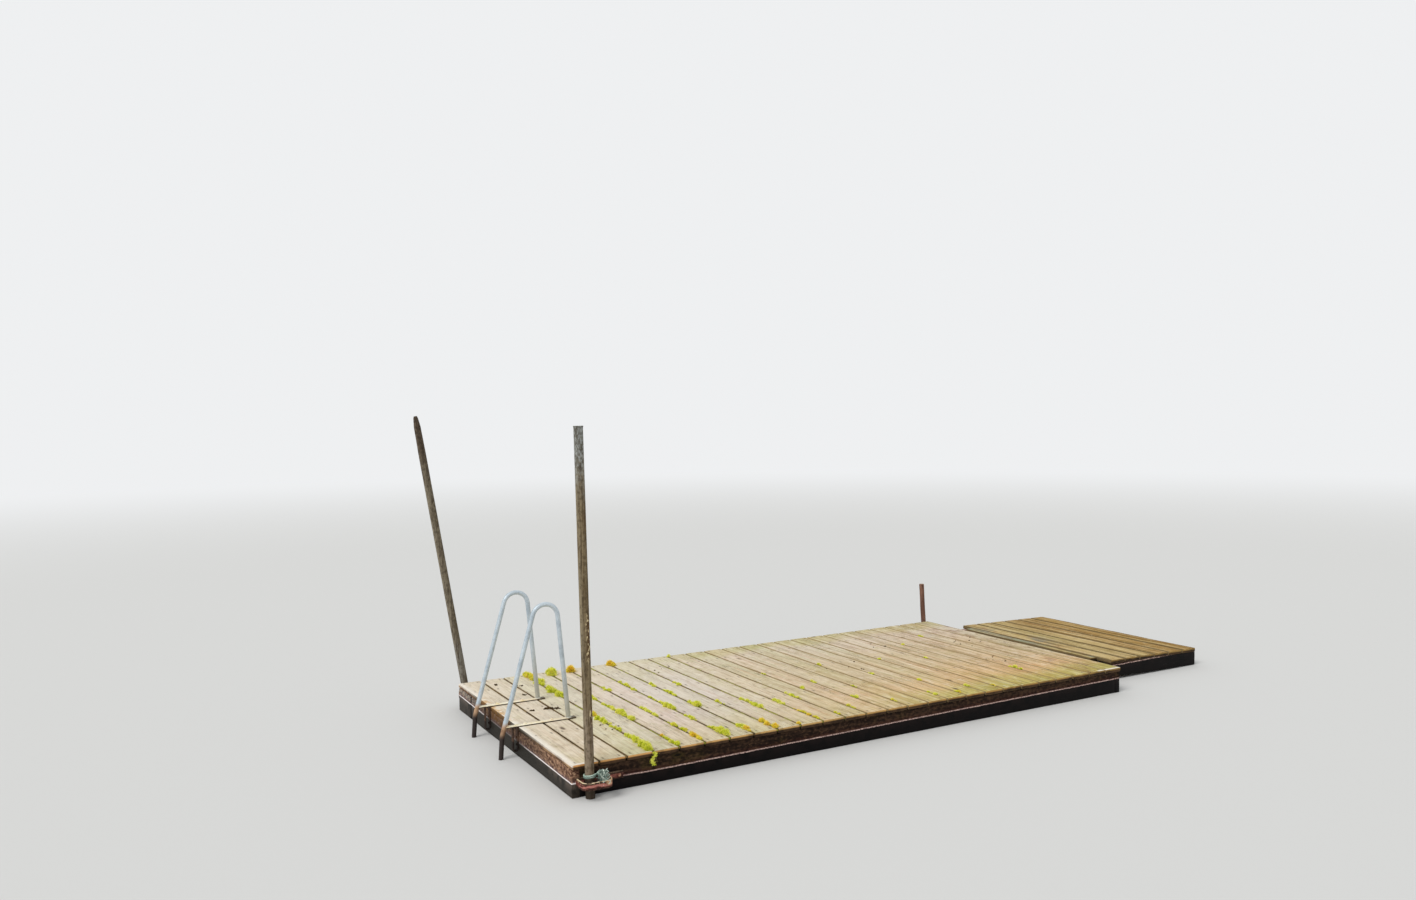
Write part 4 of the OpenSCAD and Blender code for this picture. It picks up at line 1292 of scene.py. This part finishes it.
def makeLanding(at):
    # The six boards, the narrow one in the seam and the stringers lie in the sloping plane
    finish = boardFinish("landing boards", landingLook, landingGround, False, at["z"],
                         math.tan(slope))
    blocks = []
    for i in range(at["count"]):
        block = plank(at["width"] - wander(i, 2), boardWidth, boardThick, 300 + i, **boardSizes)
        middle = (at["start"] + i * pitch + boardWidth / 2, wander(i, 1), -boardThick / 2)
        blocks.append(put(block, onLanding(middle), (0, 1, 0), down, lift))
    makePiece("landingBoards", blocks, finish, ["landing_boards"])
    block = plank(at["coverLong"], at["coverWidth"], boardThick, 321,
                  **{**boardSizes, "wear": 0.003, "cup": 0.0004})
    middle = onLanding((at["coverStart"] + at["coverWidth"] / 2, 0, -boardThick / 2))
    makePiece("seamCover", [put(block, middle, (0, 1, 0), down, lift)], finish,
              ["seam_cover_board"])
    for k, side in enumerate(("near", "mid_near", "mid_far", "far")):
        block = plank(at["length"], at["stringerThick"], at["stringerHigh"], 340 + k, **beamSizes)
        middle = onLanding((at["length"] / 2, (k - 1.5) * at["stringerPitch"],
                            -boardThick - at["stringerHigh"] / 2))
        block = put(block, middle, down, (0, 1, 0), lift)
        block["rings"] = aboveFloor(block["rings"])
        block["rings"][..., 0] = np.maximum(block["rings"][..., 0], shoreX + 0.0003)
        makePiece("stringer" + side.title().replace("_", ""), [block], sideWood,
                  ["landing_stringer_" + side])


makeLanding(landing)
print("landing made")

# Screws
screws = {"radius": 0.004, "sunk": 0.0006, "astray": 0.003}


def screwFinish():
    # Rust in brown clouds, with pale flecks
    f = Finish("rusty screw heads", Roughness=0.6, Metallic=0.3)
    spot = f.spot()
    cloud, fine = f.noise(spot, 40.0, 3, 0.6), f.noise(spot, 700.0, 2, 0.6)
    f.set("Base Color", f.coats(
        f.mix(cloud.between(0.42, 0.6), paint(122, 96, 70), paint(62, 50, 42)),
        (fine.between(0.45, 0.65) * 0.5, paint(150, 138, 116))))
    f.bump(fine, 0.0003, 0.6)
    return f


def makeScrews(at):
    # One small head, flat with a sunk middle, repeated over every bearer and stringer, each a
    # little astray
    head = lathe([(at["radius"], -0.0015), (at["radius"], 0.0001), (at["radius"] * 0.8, 0.0003),
                  (at["radius"] * 0.35, 0.0002), (at["radius"] * 0.25, -0.0004)], 10)
    rng, inset, astray = np.random.default_rng(7), layout["screwInset"], at["astray"]
    x = np.arange(layout["boardCount"])[:, None] * pitch + np.array((inset, boardWidth - inset))
    places = np.meshgrid(lakeX + x.ravel(), bearerY, [deckZ - at["sunk"]], indexing="ij")
    places = np.stack(places, -1).reshape(-1, 3)
    places += rng.uniform(-astray, astray, places.shape) * (1, 1, 0)
    makePiece("deckScrews", [scatter(head, places)], screwLook)
    i, k, e = np.meshgrid(np.arange(landing["count"]), np.arange(4), (0, 1), indexing="ij")
    x = landing["start"] + i * pitch + inset + e * (boardWidth - 2 * inset)
    y = (k - 1.5) * landing["stringerPitch"]
    places = np.stack([x.ravel(), y.ravel(), np.full(y.size, -at["sunk"])], 1)
    places[:, :2] += rng.uniform(-astray, astray, (len(places), 2))
    makePiece("landingScrews", [scatter(head, onLanding(places))], screwLook)


screwLook = screwFinish()
makeScrews(screws)
print("screws made")

# Moss: each stretch is gap number, first and last Y from the near edge, height, how orange it is
moss = {
    "stretches": (
        (3, 0.000, 0.060, 0.020, 0.25), (3, 0.060, 0.200, 0.024, 0.05), (3, 0.200, 0.330, 0.013, 0.1),
        (3, 0.400, 0.600, 0.006, 0.2), (3, 0.600, 0.720, 0.018, 0.0), (3, 0.720, 0.870, 0.013, 0.5),
        (3, 1.270, 1.550, 0.022, 0.0), (3, 1.620, 1.780, 0.020, 0.1), (3, 1.800, 1.970, 0.022, 0.4),
        (4, 0.010, 0.110, 0.014, 0.1), (4, 0.110, 0.200, 0.007, 0.3), (4, 0.215, 0.245, 0.008, 0.9),
        (4, 0.560, 0.790, 0.018, 0.1), (4, 0.790, 1.020, 0.008, 0.1), (4, 1.100, 1.270, 0.007, 0.2),
        (4, 1.840, 1.970, 0.033, 0.2),
        (5, 0.030, 0.200, 0.012, 0.75), (5, 0.200, 0.450, 0.010, 0.3), (5, 0.570, 0.800, 0.008, 0.1),
        (5, 1.260, 1.400, 0.010, 0.1), (5, 1.880, 1.970, 0.036, 0.9),
        (6, 0.030, 0.150, 0.022, 0.15), (6, 0.150, 0.250, 0.014, 0.2), (6, 0.370, 0.500, 0.011, 0.1),
        (6, 0.640, 0.760, 0.026, 0.0), (6, 0.800, 1.000, 0.007, 0.1), (6, 1.170, 1.450, 0.008, 0.2),
        (7, 0.030, 0.100, 0.012, 0.5), (7, 0.100, 0.200, 0.011, 0.2), (7, 0.650, 0.770, 0.027, 0.1),
        (7, 0.930, 1.120, 0.011, 0.1), (7, 1.200, 1.300, 0.009, 0.2), (7, 1.890, 1.970, 0.032, 0.8),
        (8, 0.000, 0.170, 0.016, 0.95), (8, 0.600, 0.700, 0.010, 0.2), (8, 1.160, 1.250, 0.010, 0.2),
        (9, 0.010, 0.050, 0.010, 0.5), (9, 0.370, 0.660, 0.011, 0.0),
        (10, 0.020, 0.300, 0.006, 0.5), (10, 0.400, 0.530, 0.009, 0.1), (10, 1.930, 1.970, 0.011, 0.2),
        (11, 0.450, 0.660, 0.008, 0.1), (12, 0.100, 0.200, 0.007, 0.3), (12, 0.630, 0.690, 0.009, 0.1),
        (14, 0.500, 0.580, 0.006, 0.3), (15, 1.100, 1.160, 0.007, 0.3), (17, 0.420, 0.500, 0.007, 0.3),
        (19, 0.060, 0.120, 0.006, 0.4), (22, 0.300, 0.420, 0.011, 0.1), (23, 1.500, 1.560, 0.006, 0.3),
        (11, 0.050, 0.120, 0.008, 0.4), (12, 1.100, 1.160, 0.006, 0.3), (13, 0.290, 0.370, 0.008, 0.1),
        (13, 0.740, 0.800, 0.007, 0.2), (14, 0.090, 0.170, 0.008, 0.3), (16, 0.080, 0.180, 0.008, 0.2),
        (16, 0.720, 0.780, 0.006, 0.2), (17, 0.050, 0.120, 0.007, 0.5), (18, 0.140, 0.200, 0.007, 0.2),
        (18, 1.050, 1.100, 0.006, 0.2), (20, 0.880, 0.940, 0.006, 0.3), (21, 1.350, 1.400, 0.006, 0.2),
    ),
    "leaves": 27500, "leafLong": 0.0106, "leafWide": 0.0013, "fullHigh": 0.020, "spread": 0.019,
    "domeStep": 0.0145, "domeStray": 0.005,
    "dome": ((0.6, -0.1), (1.0, 0.0), (0.9, 0.42), (0.6, 0.8), (0.2, 0.98)),
    "tail": {"leaves": 620, "x": 3 * pitch - 0.006, "long": 0.074, "thick": 0.0085, "sway": 0.007},
}


def mossFinish():
    # Yellow green to orange brown by each stretch's own mix, and dark at the foot of every leaf,
    # which is painted shade deep in the clump
    f = Finish("moss", Roughness=0.85, Specular_IOR_Level=0.1)
    tip, orange, tone = f.split(f.attribute("place"))
    cloud = f.noise(f.spot(), 42.0, 3, 0.6)
    warm = f.mix(cloud.between(0.4, 0.6), paint(255, 240, 88), paint(254, 214, 74))
    f.set("Base Color", f.coats(
        f.mix(cloud.between(0.36, 0.62), paint(224, 232, 50), paint(255, 253, 128)),
        ((orange * 1.3 + cloud - 0.75).between(0.1, 0.6), warm),
        (tone.between(0.7, 1.0) * 0.4, paint(128, 148, 28)),
        # painted shade at the foot of every leaf, deep in the clump
        (tip.between(0.5, 0.0) * 0.6, paint(96, 102, 20))))
    return f


def leafBlock(base, lean, at, rng, orange, size):
    # Each leaf is a slender double pyramid: its foot, three points part of the way up, its tip
    count = len(base)
    lean = unit(lean)
    side = unit(np.cross(lean, rng.normal(0, 1, (count, 3))))
    other = np.cross(lean, side)
    long = (at["leafLong"] * size * rng.uniform(0.5, 1.15, count))[:, None]
    wide = (at["leafWide"] * rng.uniform(0.7, 1.3, count))[:, None, None]
    turn = fullTurn(3)[None, :, None]
    ring = np.cos(turn) * side[:, None] + np.sin(turn) * other[:, None]
    rows = [(base - lean * long * 0.1)[:, None], (base + lean * long * 0.4)[:, None] + ring * wide,
            (base + lean * long)[:, None]]
    faces = np.array([(0, 2, 1), (0, 3, 2), (0, 1, 3), (4, 1, 2), (4, 2, 3), (4, 3, 1)])
    faces = (faces[None] + (np.arange(count) * 5)[:, None, None]).reshape(-1, 3).tolist()
    tone = np.repeat(rng.uniform(0, 1, count), 5)
    place = np.stack([np.tile((0.0, 0.6, 0.6, 0.6, 1.0), count),
                      np.repeat(np.broadcast_to(orange, (count,)), 5), tone], 1)
    return {"points": np.concatenate(rows, 1).reshape(-1, 3), "faces": faces, "place": place}


def gapMiddle(gap):
    # The X of the gap before this board, counted from the lake end
    return lakeX + gap * pitch - (pitch - boardWidth) / 2


def mossPatch(stretch, leaves, at, rng):
    # Squashed domes stand close together along the stretch: rings of a half ellipse, closed a
    # little under the deck. Leaves stand on them along a dome's outward direction
    gap, start, end, high, orange = stretch
    lush = high / at["fullHigh"]
    count = max(2, round((end - start) / at["domeStep"]))
    y = np.linspace(start, end, count + 2)[1:-1] + rng.normal(0, at["domeStray"], count)
    big = rng.uniform(0.12, 1.0, count) ** 1.9
    wide = at["spread"] * (0.35 + 0.65 * lush) * (0.13 + 1.25 * big)
    tall = high * (0.13 + 1.5 * big)
    x = gapMiddle(gap) + rng.normal(0, 0.40, count) * wide
    centre = np.stack([x, nearY + np.clip(y, 0.008, 1.972), np.full(count, deckZ - 0.001)], 1)
    sizes = np.stack([wide * 0.60, np.minimum(wide * 0.8, 0.014), tall * 0.68], 1)
    domes = scatter(lathe(at["dome"], 9), centre, rng.uniform(-0.4, 0.4, count), sizes)
    domes["place"] = np.broadcast_to(np.array((0.12, orange, 0.5)), domes["points"].shape)
    chosen = rng.choice(count, leaves, p=wide * tall / (wide * tall).sum())
    turn, rise = rng.uniform(0, 2 * math.pi, leaves), np.arcsin(rng.uniform(0.0, 1.0, leaves))
    out = np.stack([np.cos(turn) * np.cos(rise), np.sin(turn) * np.cos(rise), np.sin(rise)], 1)
    base = centre[chosen] + out * sizes[chosen]
    lean = out * (1, 1, 0.9) + rng.normal(0, 0.38, (leaves, 3)) + (0, 0, 0.25)
    lean[:, 2] = np.maximum(lean[:, 2], 0.05)
    tint = np.clip(orange + rng.normal(0, 0.12, leaves), 0, 1)
    size = 0.5 + 0.75 * (tall / at["fullHigh"])[chosen]
    return [domes, leafBlock(base, lean, at, rng, tint, size)]


def hangingMoss(at, rng):
    # A thin tail over the deck's near edge at the third gap. It thickens and thins in beads and
    # sways by sines as it goes down
    tail = at["tail"]
    count = tail["leaves"]
    drop = rng.uniform(0, 1, count) ** 0.9
    stray = rng.normal(0, tail["thick"], count) * (0.22 + 0.6 * np.abs(np.sin(drop * 14)))
    x = lakeX + tail["x"] + stray + tail["sway"] * np.sin(drop * 7)
    y = nearY - 0.001 - rng.uniform(0, 0.006, count) + 0.007 * (drop > 0.38)
    base = np.stack([x, y, deckZ - 0.002 - drop * tail["long"]], 1)
    lean = np.stack([rng.normal(0, 0.7, count), -0.7 - rng.uniform(0, 0.4, count),
                     rng.normal(-0.5, 0.5, count)], 1)
    return leafBlock(base, lean, at, rng, 0.1, 0.75)


def makeMoss(at):
    # Leaves are shared out among the stretches by their length and height
    rng = np.random.default_rng(11)
    table = np.array(at["stretches"])
    weight = (table[:, 2] - table[:, 1]) * table[:, 3] ** 0.9
    counts = np.round(at["leaves"] * weight / weight.sum()).astype(int)
    finish = mossFinish()
    for name, first, last in (("gapMossLake", 3, 4), ("gapMoss", 5, 26)):
        blocks = [block for stretch, leaves in zip(at["stretches"], counts)
                  if first <= stretch[0] <= last for block in mossPatch(stretch, leaves, at, rng)]
        if first == 3:
            blocks.append(hangingMoss(at, rng))
        makePiece(name, blocks, finish)


makeMoss(moss)
print("moss made")

# Dirt in the gaps, and crumbs of bark on the boards
dirt = {
    "halfWidth": 0.0047, "deep": 0.0075, "start": 0.003, "last": 1.93, "end": 1.966,
    "longs": (0.12, 0.6), "sunk": (0.0006, 0.0030), "openNear": 1.05, "openSunk": 0.0035,
    "corners": ((1, -0.6), (1, 0.6), (0.7, 1), (-0.7, 1), (-1, 0.6), (-1, -0.6), (-0.7, -1),
                (0.7, -1)),
    "lump": ((0.55, -0.15), (0.95, 0.1), (1.0, 0.45), (0.6, 0.85), (0.15, 1.0)),
    # Clusters of crumbs: X from the lake end, Y from the near edge, how many, how far they spread
    "clusters": ((0.20, 1.805, 15, 0.005), (0.27, 1.46, 14, 0.005), (0.18, 1.08, 16, 0.006),
                 (0.275, 1.08, 30, 0.010), (0.305, 1.065, 14, 0.010), (0.33, 1.05, 20, 0.008),
                 (0.31, 1.70, 6, 0.012), (0.42, 0.52, 4, 0.030), (1.30, 1.62, 5, 0.05),
                 (2.45, 0.95, 6, 0.08), (3.05, 1.40, 7, 0.09), (3.45, 0.60, 6, 0.08),
                 (3.70, 1.20, 7, 0.09)),
}


def dirtFinish():
    # Olive brown needles and soil by the lake end, with thin moss among the first gaps' clumps,
    # and paler and browner towards the shore end. Bark is dark
    f = Finish("needles and bark", Roughness=0.95, Specular_IOR_Level=0.1)
    spot = f.spot()
    fromLake = f.split(spot)[0] - lakeX
    bark = f.split(f.attribute("place"))[0]
    cloud, fine = f.noise(spot, 30.0, 4, 0.65), f.drawn(spot, (420, 140, 420), 3, 0.6)
    mossy = fromLake.between(0.40, 0.46) * fromLake.between(2.0, 1.2)
    f.set("Base Color", f.coats(
        f.ramp(cloud, (0.35, paint(112, 96, 58)), (0.5, paint(90, 70, 46)),
               (0.62, paint(146, 122, 74))),
        (fromLake.between(1.0, 2.4) * 0.75, paint(172, 146, 102)),
        (mossy * f.noise(spot, 11.0, 3, 0.6).between(0.46, 0.56) * 0.75, paint(168, 176, 52)),
        (bark * 0.8, paint(52, 40, 26)),
        (fine.between(0.5, 0.66) * 0.5 * (1 - bark * 0.6), paint(164, 134, 84))))
    f.bump(fine, 0.001, 0.8)
    return f


def makeDirt(at):
    # A ridge is a box with cut corners carried along its gap, which it fills. It tapers a little
    # at both ends. Ridge after ridge fills a gap, each at its own depth, and nearly flush towards
    # the shore end
    rng, outline = np.random.default_rng(17), np.array(at["corners"])
    ridges = []
    for gap in range(1, layout["boardCount"]):
        y = at["start"]
        while y < at["last"]:
            long = min(rng.uniform(*at["longs"]), at["end"] - y)
            steps = 4 + int(long / 0.03)
            run = y + np.linspace(0, long, steps)
            swell = np.sin(np.linspace(0.25, math.pi - 0.25, steps)) ** 0.25
            tall = at["deep"] * swell * (0.9 + 0.1 * waves(rng, run, (0.07, 0.03)))
            sunk = rng.uniform(*at["sunk"]) * (1.0 if 2 < gap < 9 else 0.5)
            sunk += at["openSunk"] * (gap == 1 and y < at["openNear"])
            ridges.append({"rings": np.stack([
                gapMiddle(gap) + at["halfWidth"] * swell[:, None] * outline[:, 0],
                np.broadcast_to((nearY + run)[:, None], (steps, len(outline))),
                deckZ - at["deep"] - sunk + tall[:, None] * outline[:, 1]], -1)})
            y += long + rng.uniform(-0.01, 0.02)
    makePiece("gapDirt", ridges, dirtLook)
    lump = lathe(at["lump"], 7) * rng.uniform(0.75, 1.1, (5, 7, 1))
    places = np.concatenate([np.stack([lakeX + x + rng.normal(0, spread, count),
                                       nearY + y + rng.normal(0, spread, count),
                                       np.full(count, deckZ - 0.0008)], 1)
                             for x, y, count, spread in at["clusters"]])
    sizes = rng.uniform((0.0024, 0.0034, 0.0030), (0.0064, 0.0090, 0.0080), (len(places), 3))
    crumbs = scatter(lump, places, rng.uniform(0, 6.28, len(places)), sizes)
    crumbs["place"] = np.ones(crumbs["points"].shape)
    makePiece("barkCrumbs", [crumbs], dirtLook)


dirtLook = dirtFinish()
makeDirt(dirt)
print("dirt made")


# Floor and light
stage = {
    "rings": (0.01, 2, 4, 6, 9, 13, 20, 40, 90), "sides": 96, "x": -1.5, "z": -0.0008,
    "fade": (9, 30), "floor": (0.72, 0.72, 0.71), "backdrop": (0.86, 0.87, 0.88),
    "dome": 0.62, "domeColour": (0.97, 0.99, 1.0), "lamp": 1.5, "lampColour": (1.0, 0.98, 0.95),
    "lampSpread": 30, "lampToward": (-0.75, -0.25, 0.85),
}


def makeStage(at):
    # Rings of growing radius make a round floor, whose rim melts into the background
    turn = fullTurn(at["sides"])
    rings = np.stack([np.stack([r * np.cos(turn), r * np.sin(turn), 0 * turn], 1)
                      for r in at["rings"]])
    m, n = rings.shape[:2]
    i, j = np.meshgrid(np.arange(m - 1), np.arange(n), indexing="ij")
    j2 = (j + 1) % n
    faces = np.stack([i * n + j, (i + 1) * n + j, (i + 1) * n + j2, i * n + j2], -1)
    mesh = bpy.data.meshes.new("studioFloor")
    mesh.from_pydata((rings.reshape(-1, 3) + (at["x"], 0, at["z"])).tolist(), [],
                     faces.reshape(-1, 4).tolist() + [list(range(n))])
    f = Finish("studio floor", Roughness=0.9, Specular_IOR_Level=0.1, Base_Color=at["floor"])
    x, y = f.split(f.spot())[:2]
    far = ((x - at["x"]) ** 2 + y ** 2) ** 0.5
    glow = f.node("Emission", {}, {"Color": at["backdrop"], "Strength": 1.0})
    blend = f.node("MixShader", {}, {0: far.between(*at["fade"]), 1: Value(f, f.shader.outputs[0]),
                                     2: glow})
    f.tree.links.new(blend.socket, f.tree.nodes["Material Output"].inputs["Surface"])
    mesh.materials.append(f.material)
    floor = bpy.data.objects.new("studioFloor", mesh)
    bpy.context.scene.collection.objects.link(floor)


def makeLight(at):
    # An even dome, behind a plain background, and one broad lamp from the lake end's side
    world = bpy.data.worlds.new("studio")
    bpy.context.scene.world = world
    world.use_nodes = True
    nodes, links = world.node_tree.nodes, world.node_tree.links
    nodes.clear()
    out, blend, light, seen, ray, either = (nodes.new("ShaderNode" + kind) for kind in (
        "OutputWorld", "MixShader", "Background", "Background", "LightPath", "Math"))
    either.operation = "MAXIMUM"
    for shown, colour, strength in ((light, at["domeColour"], at["dome"]),
                                    (seen, at["backdrop"], 1.0)):
        shown.inputs[0].default_value = (*colour, 1)
        shown.inputs[1].default_value = strength
    for source, socket in ((ray.outputs["Is Camera Ray"], either.inputs[0]),
                           (ray.outputs["Is Glossy Ray"], either.inputs[1]),
                           (either.outputs[0], blend.inputs[0]),
                           (light.outputs[0], blend.inputs[1]),
                           (seen.outputs[0], blend.inputs[2]), (blend.outputs[0], out.inputs[0])):
        links.new(source, socket)
    lamp = bpy.data.lights.new("broadLamp", "SUN")
    lamp.energy, lamp.color, lamp.angle = at["lamp"], at["lampColour"], math.radians(at["lampSpread"])
    holder = bpy.data.objects.new("broadLamp", lamp)
    back = unit(np.array(at["lampToward"]))
    side = unit(np.cross((0, 0, 1), back))
    holder.matrix_world = axesMatrix(side, np.cross(back, side), back)
    bpy.context.scene.collection.objects.link(holder)


makeStage(stage)
makeLight(stage)
bpy.context.scene.view_settings.view_transform = "Standard"
print("stage made")
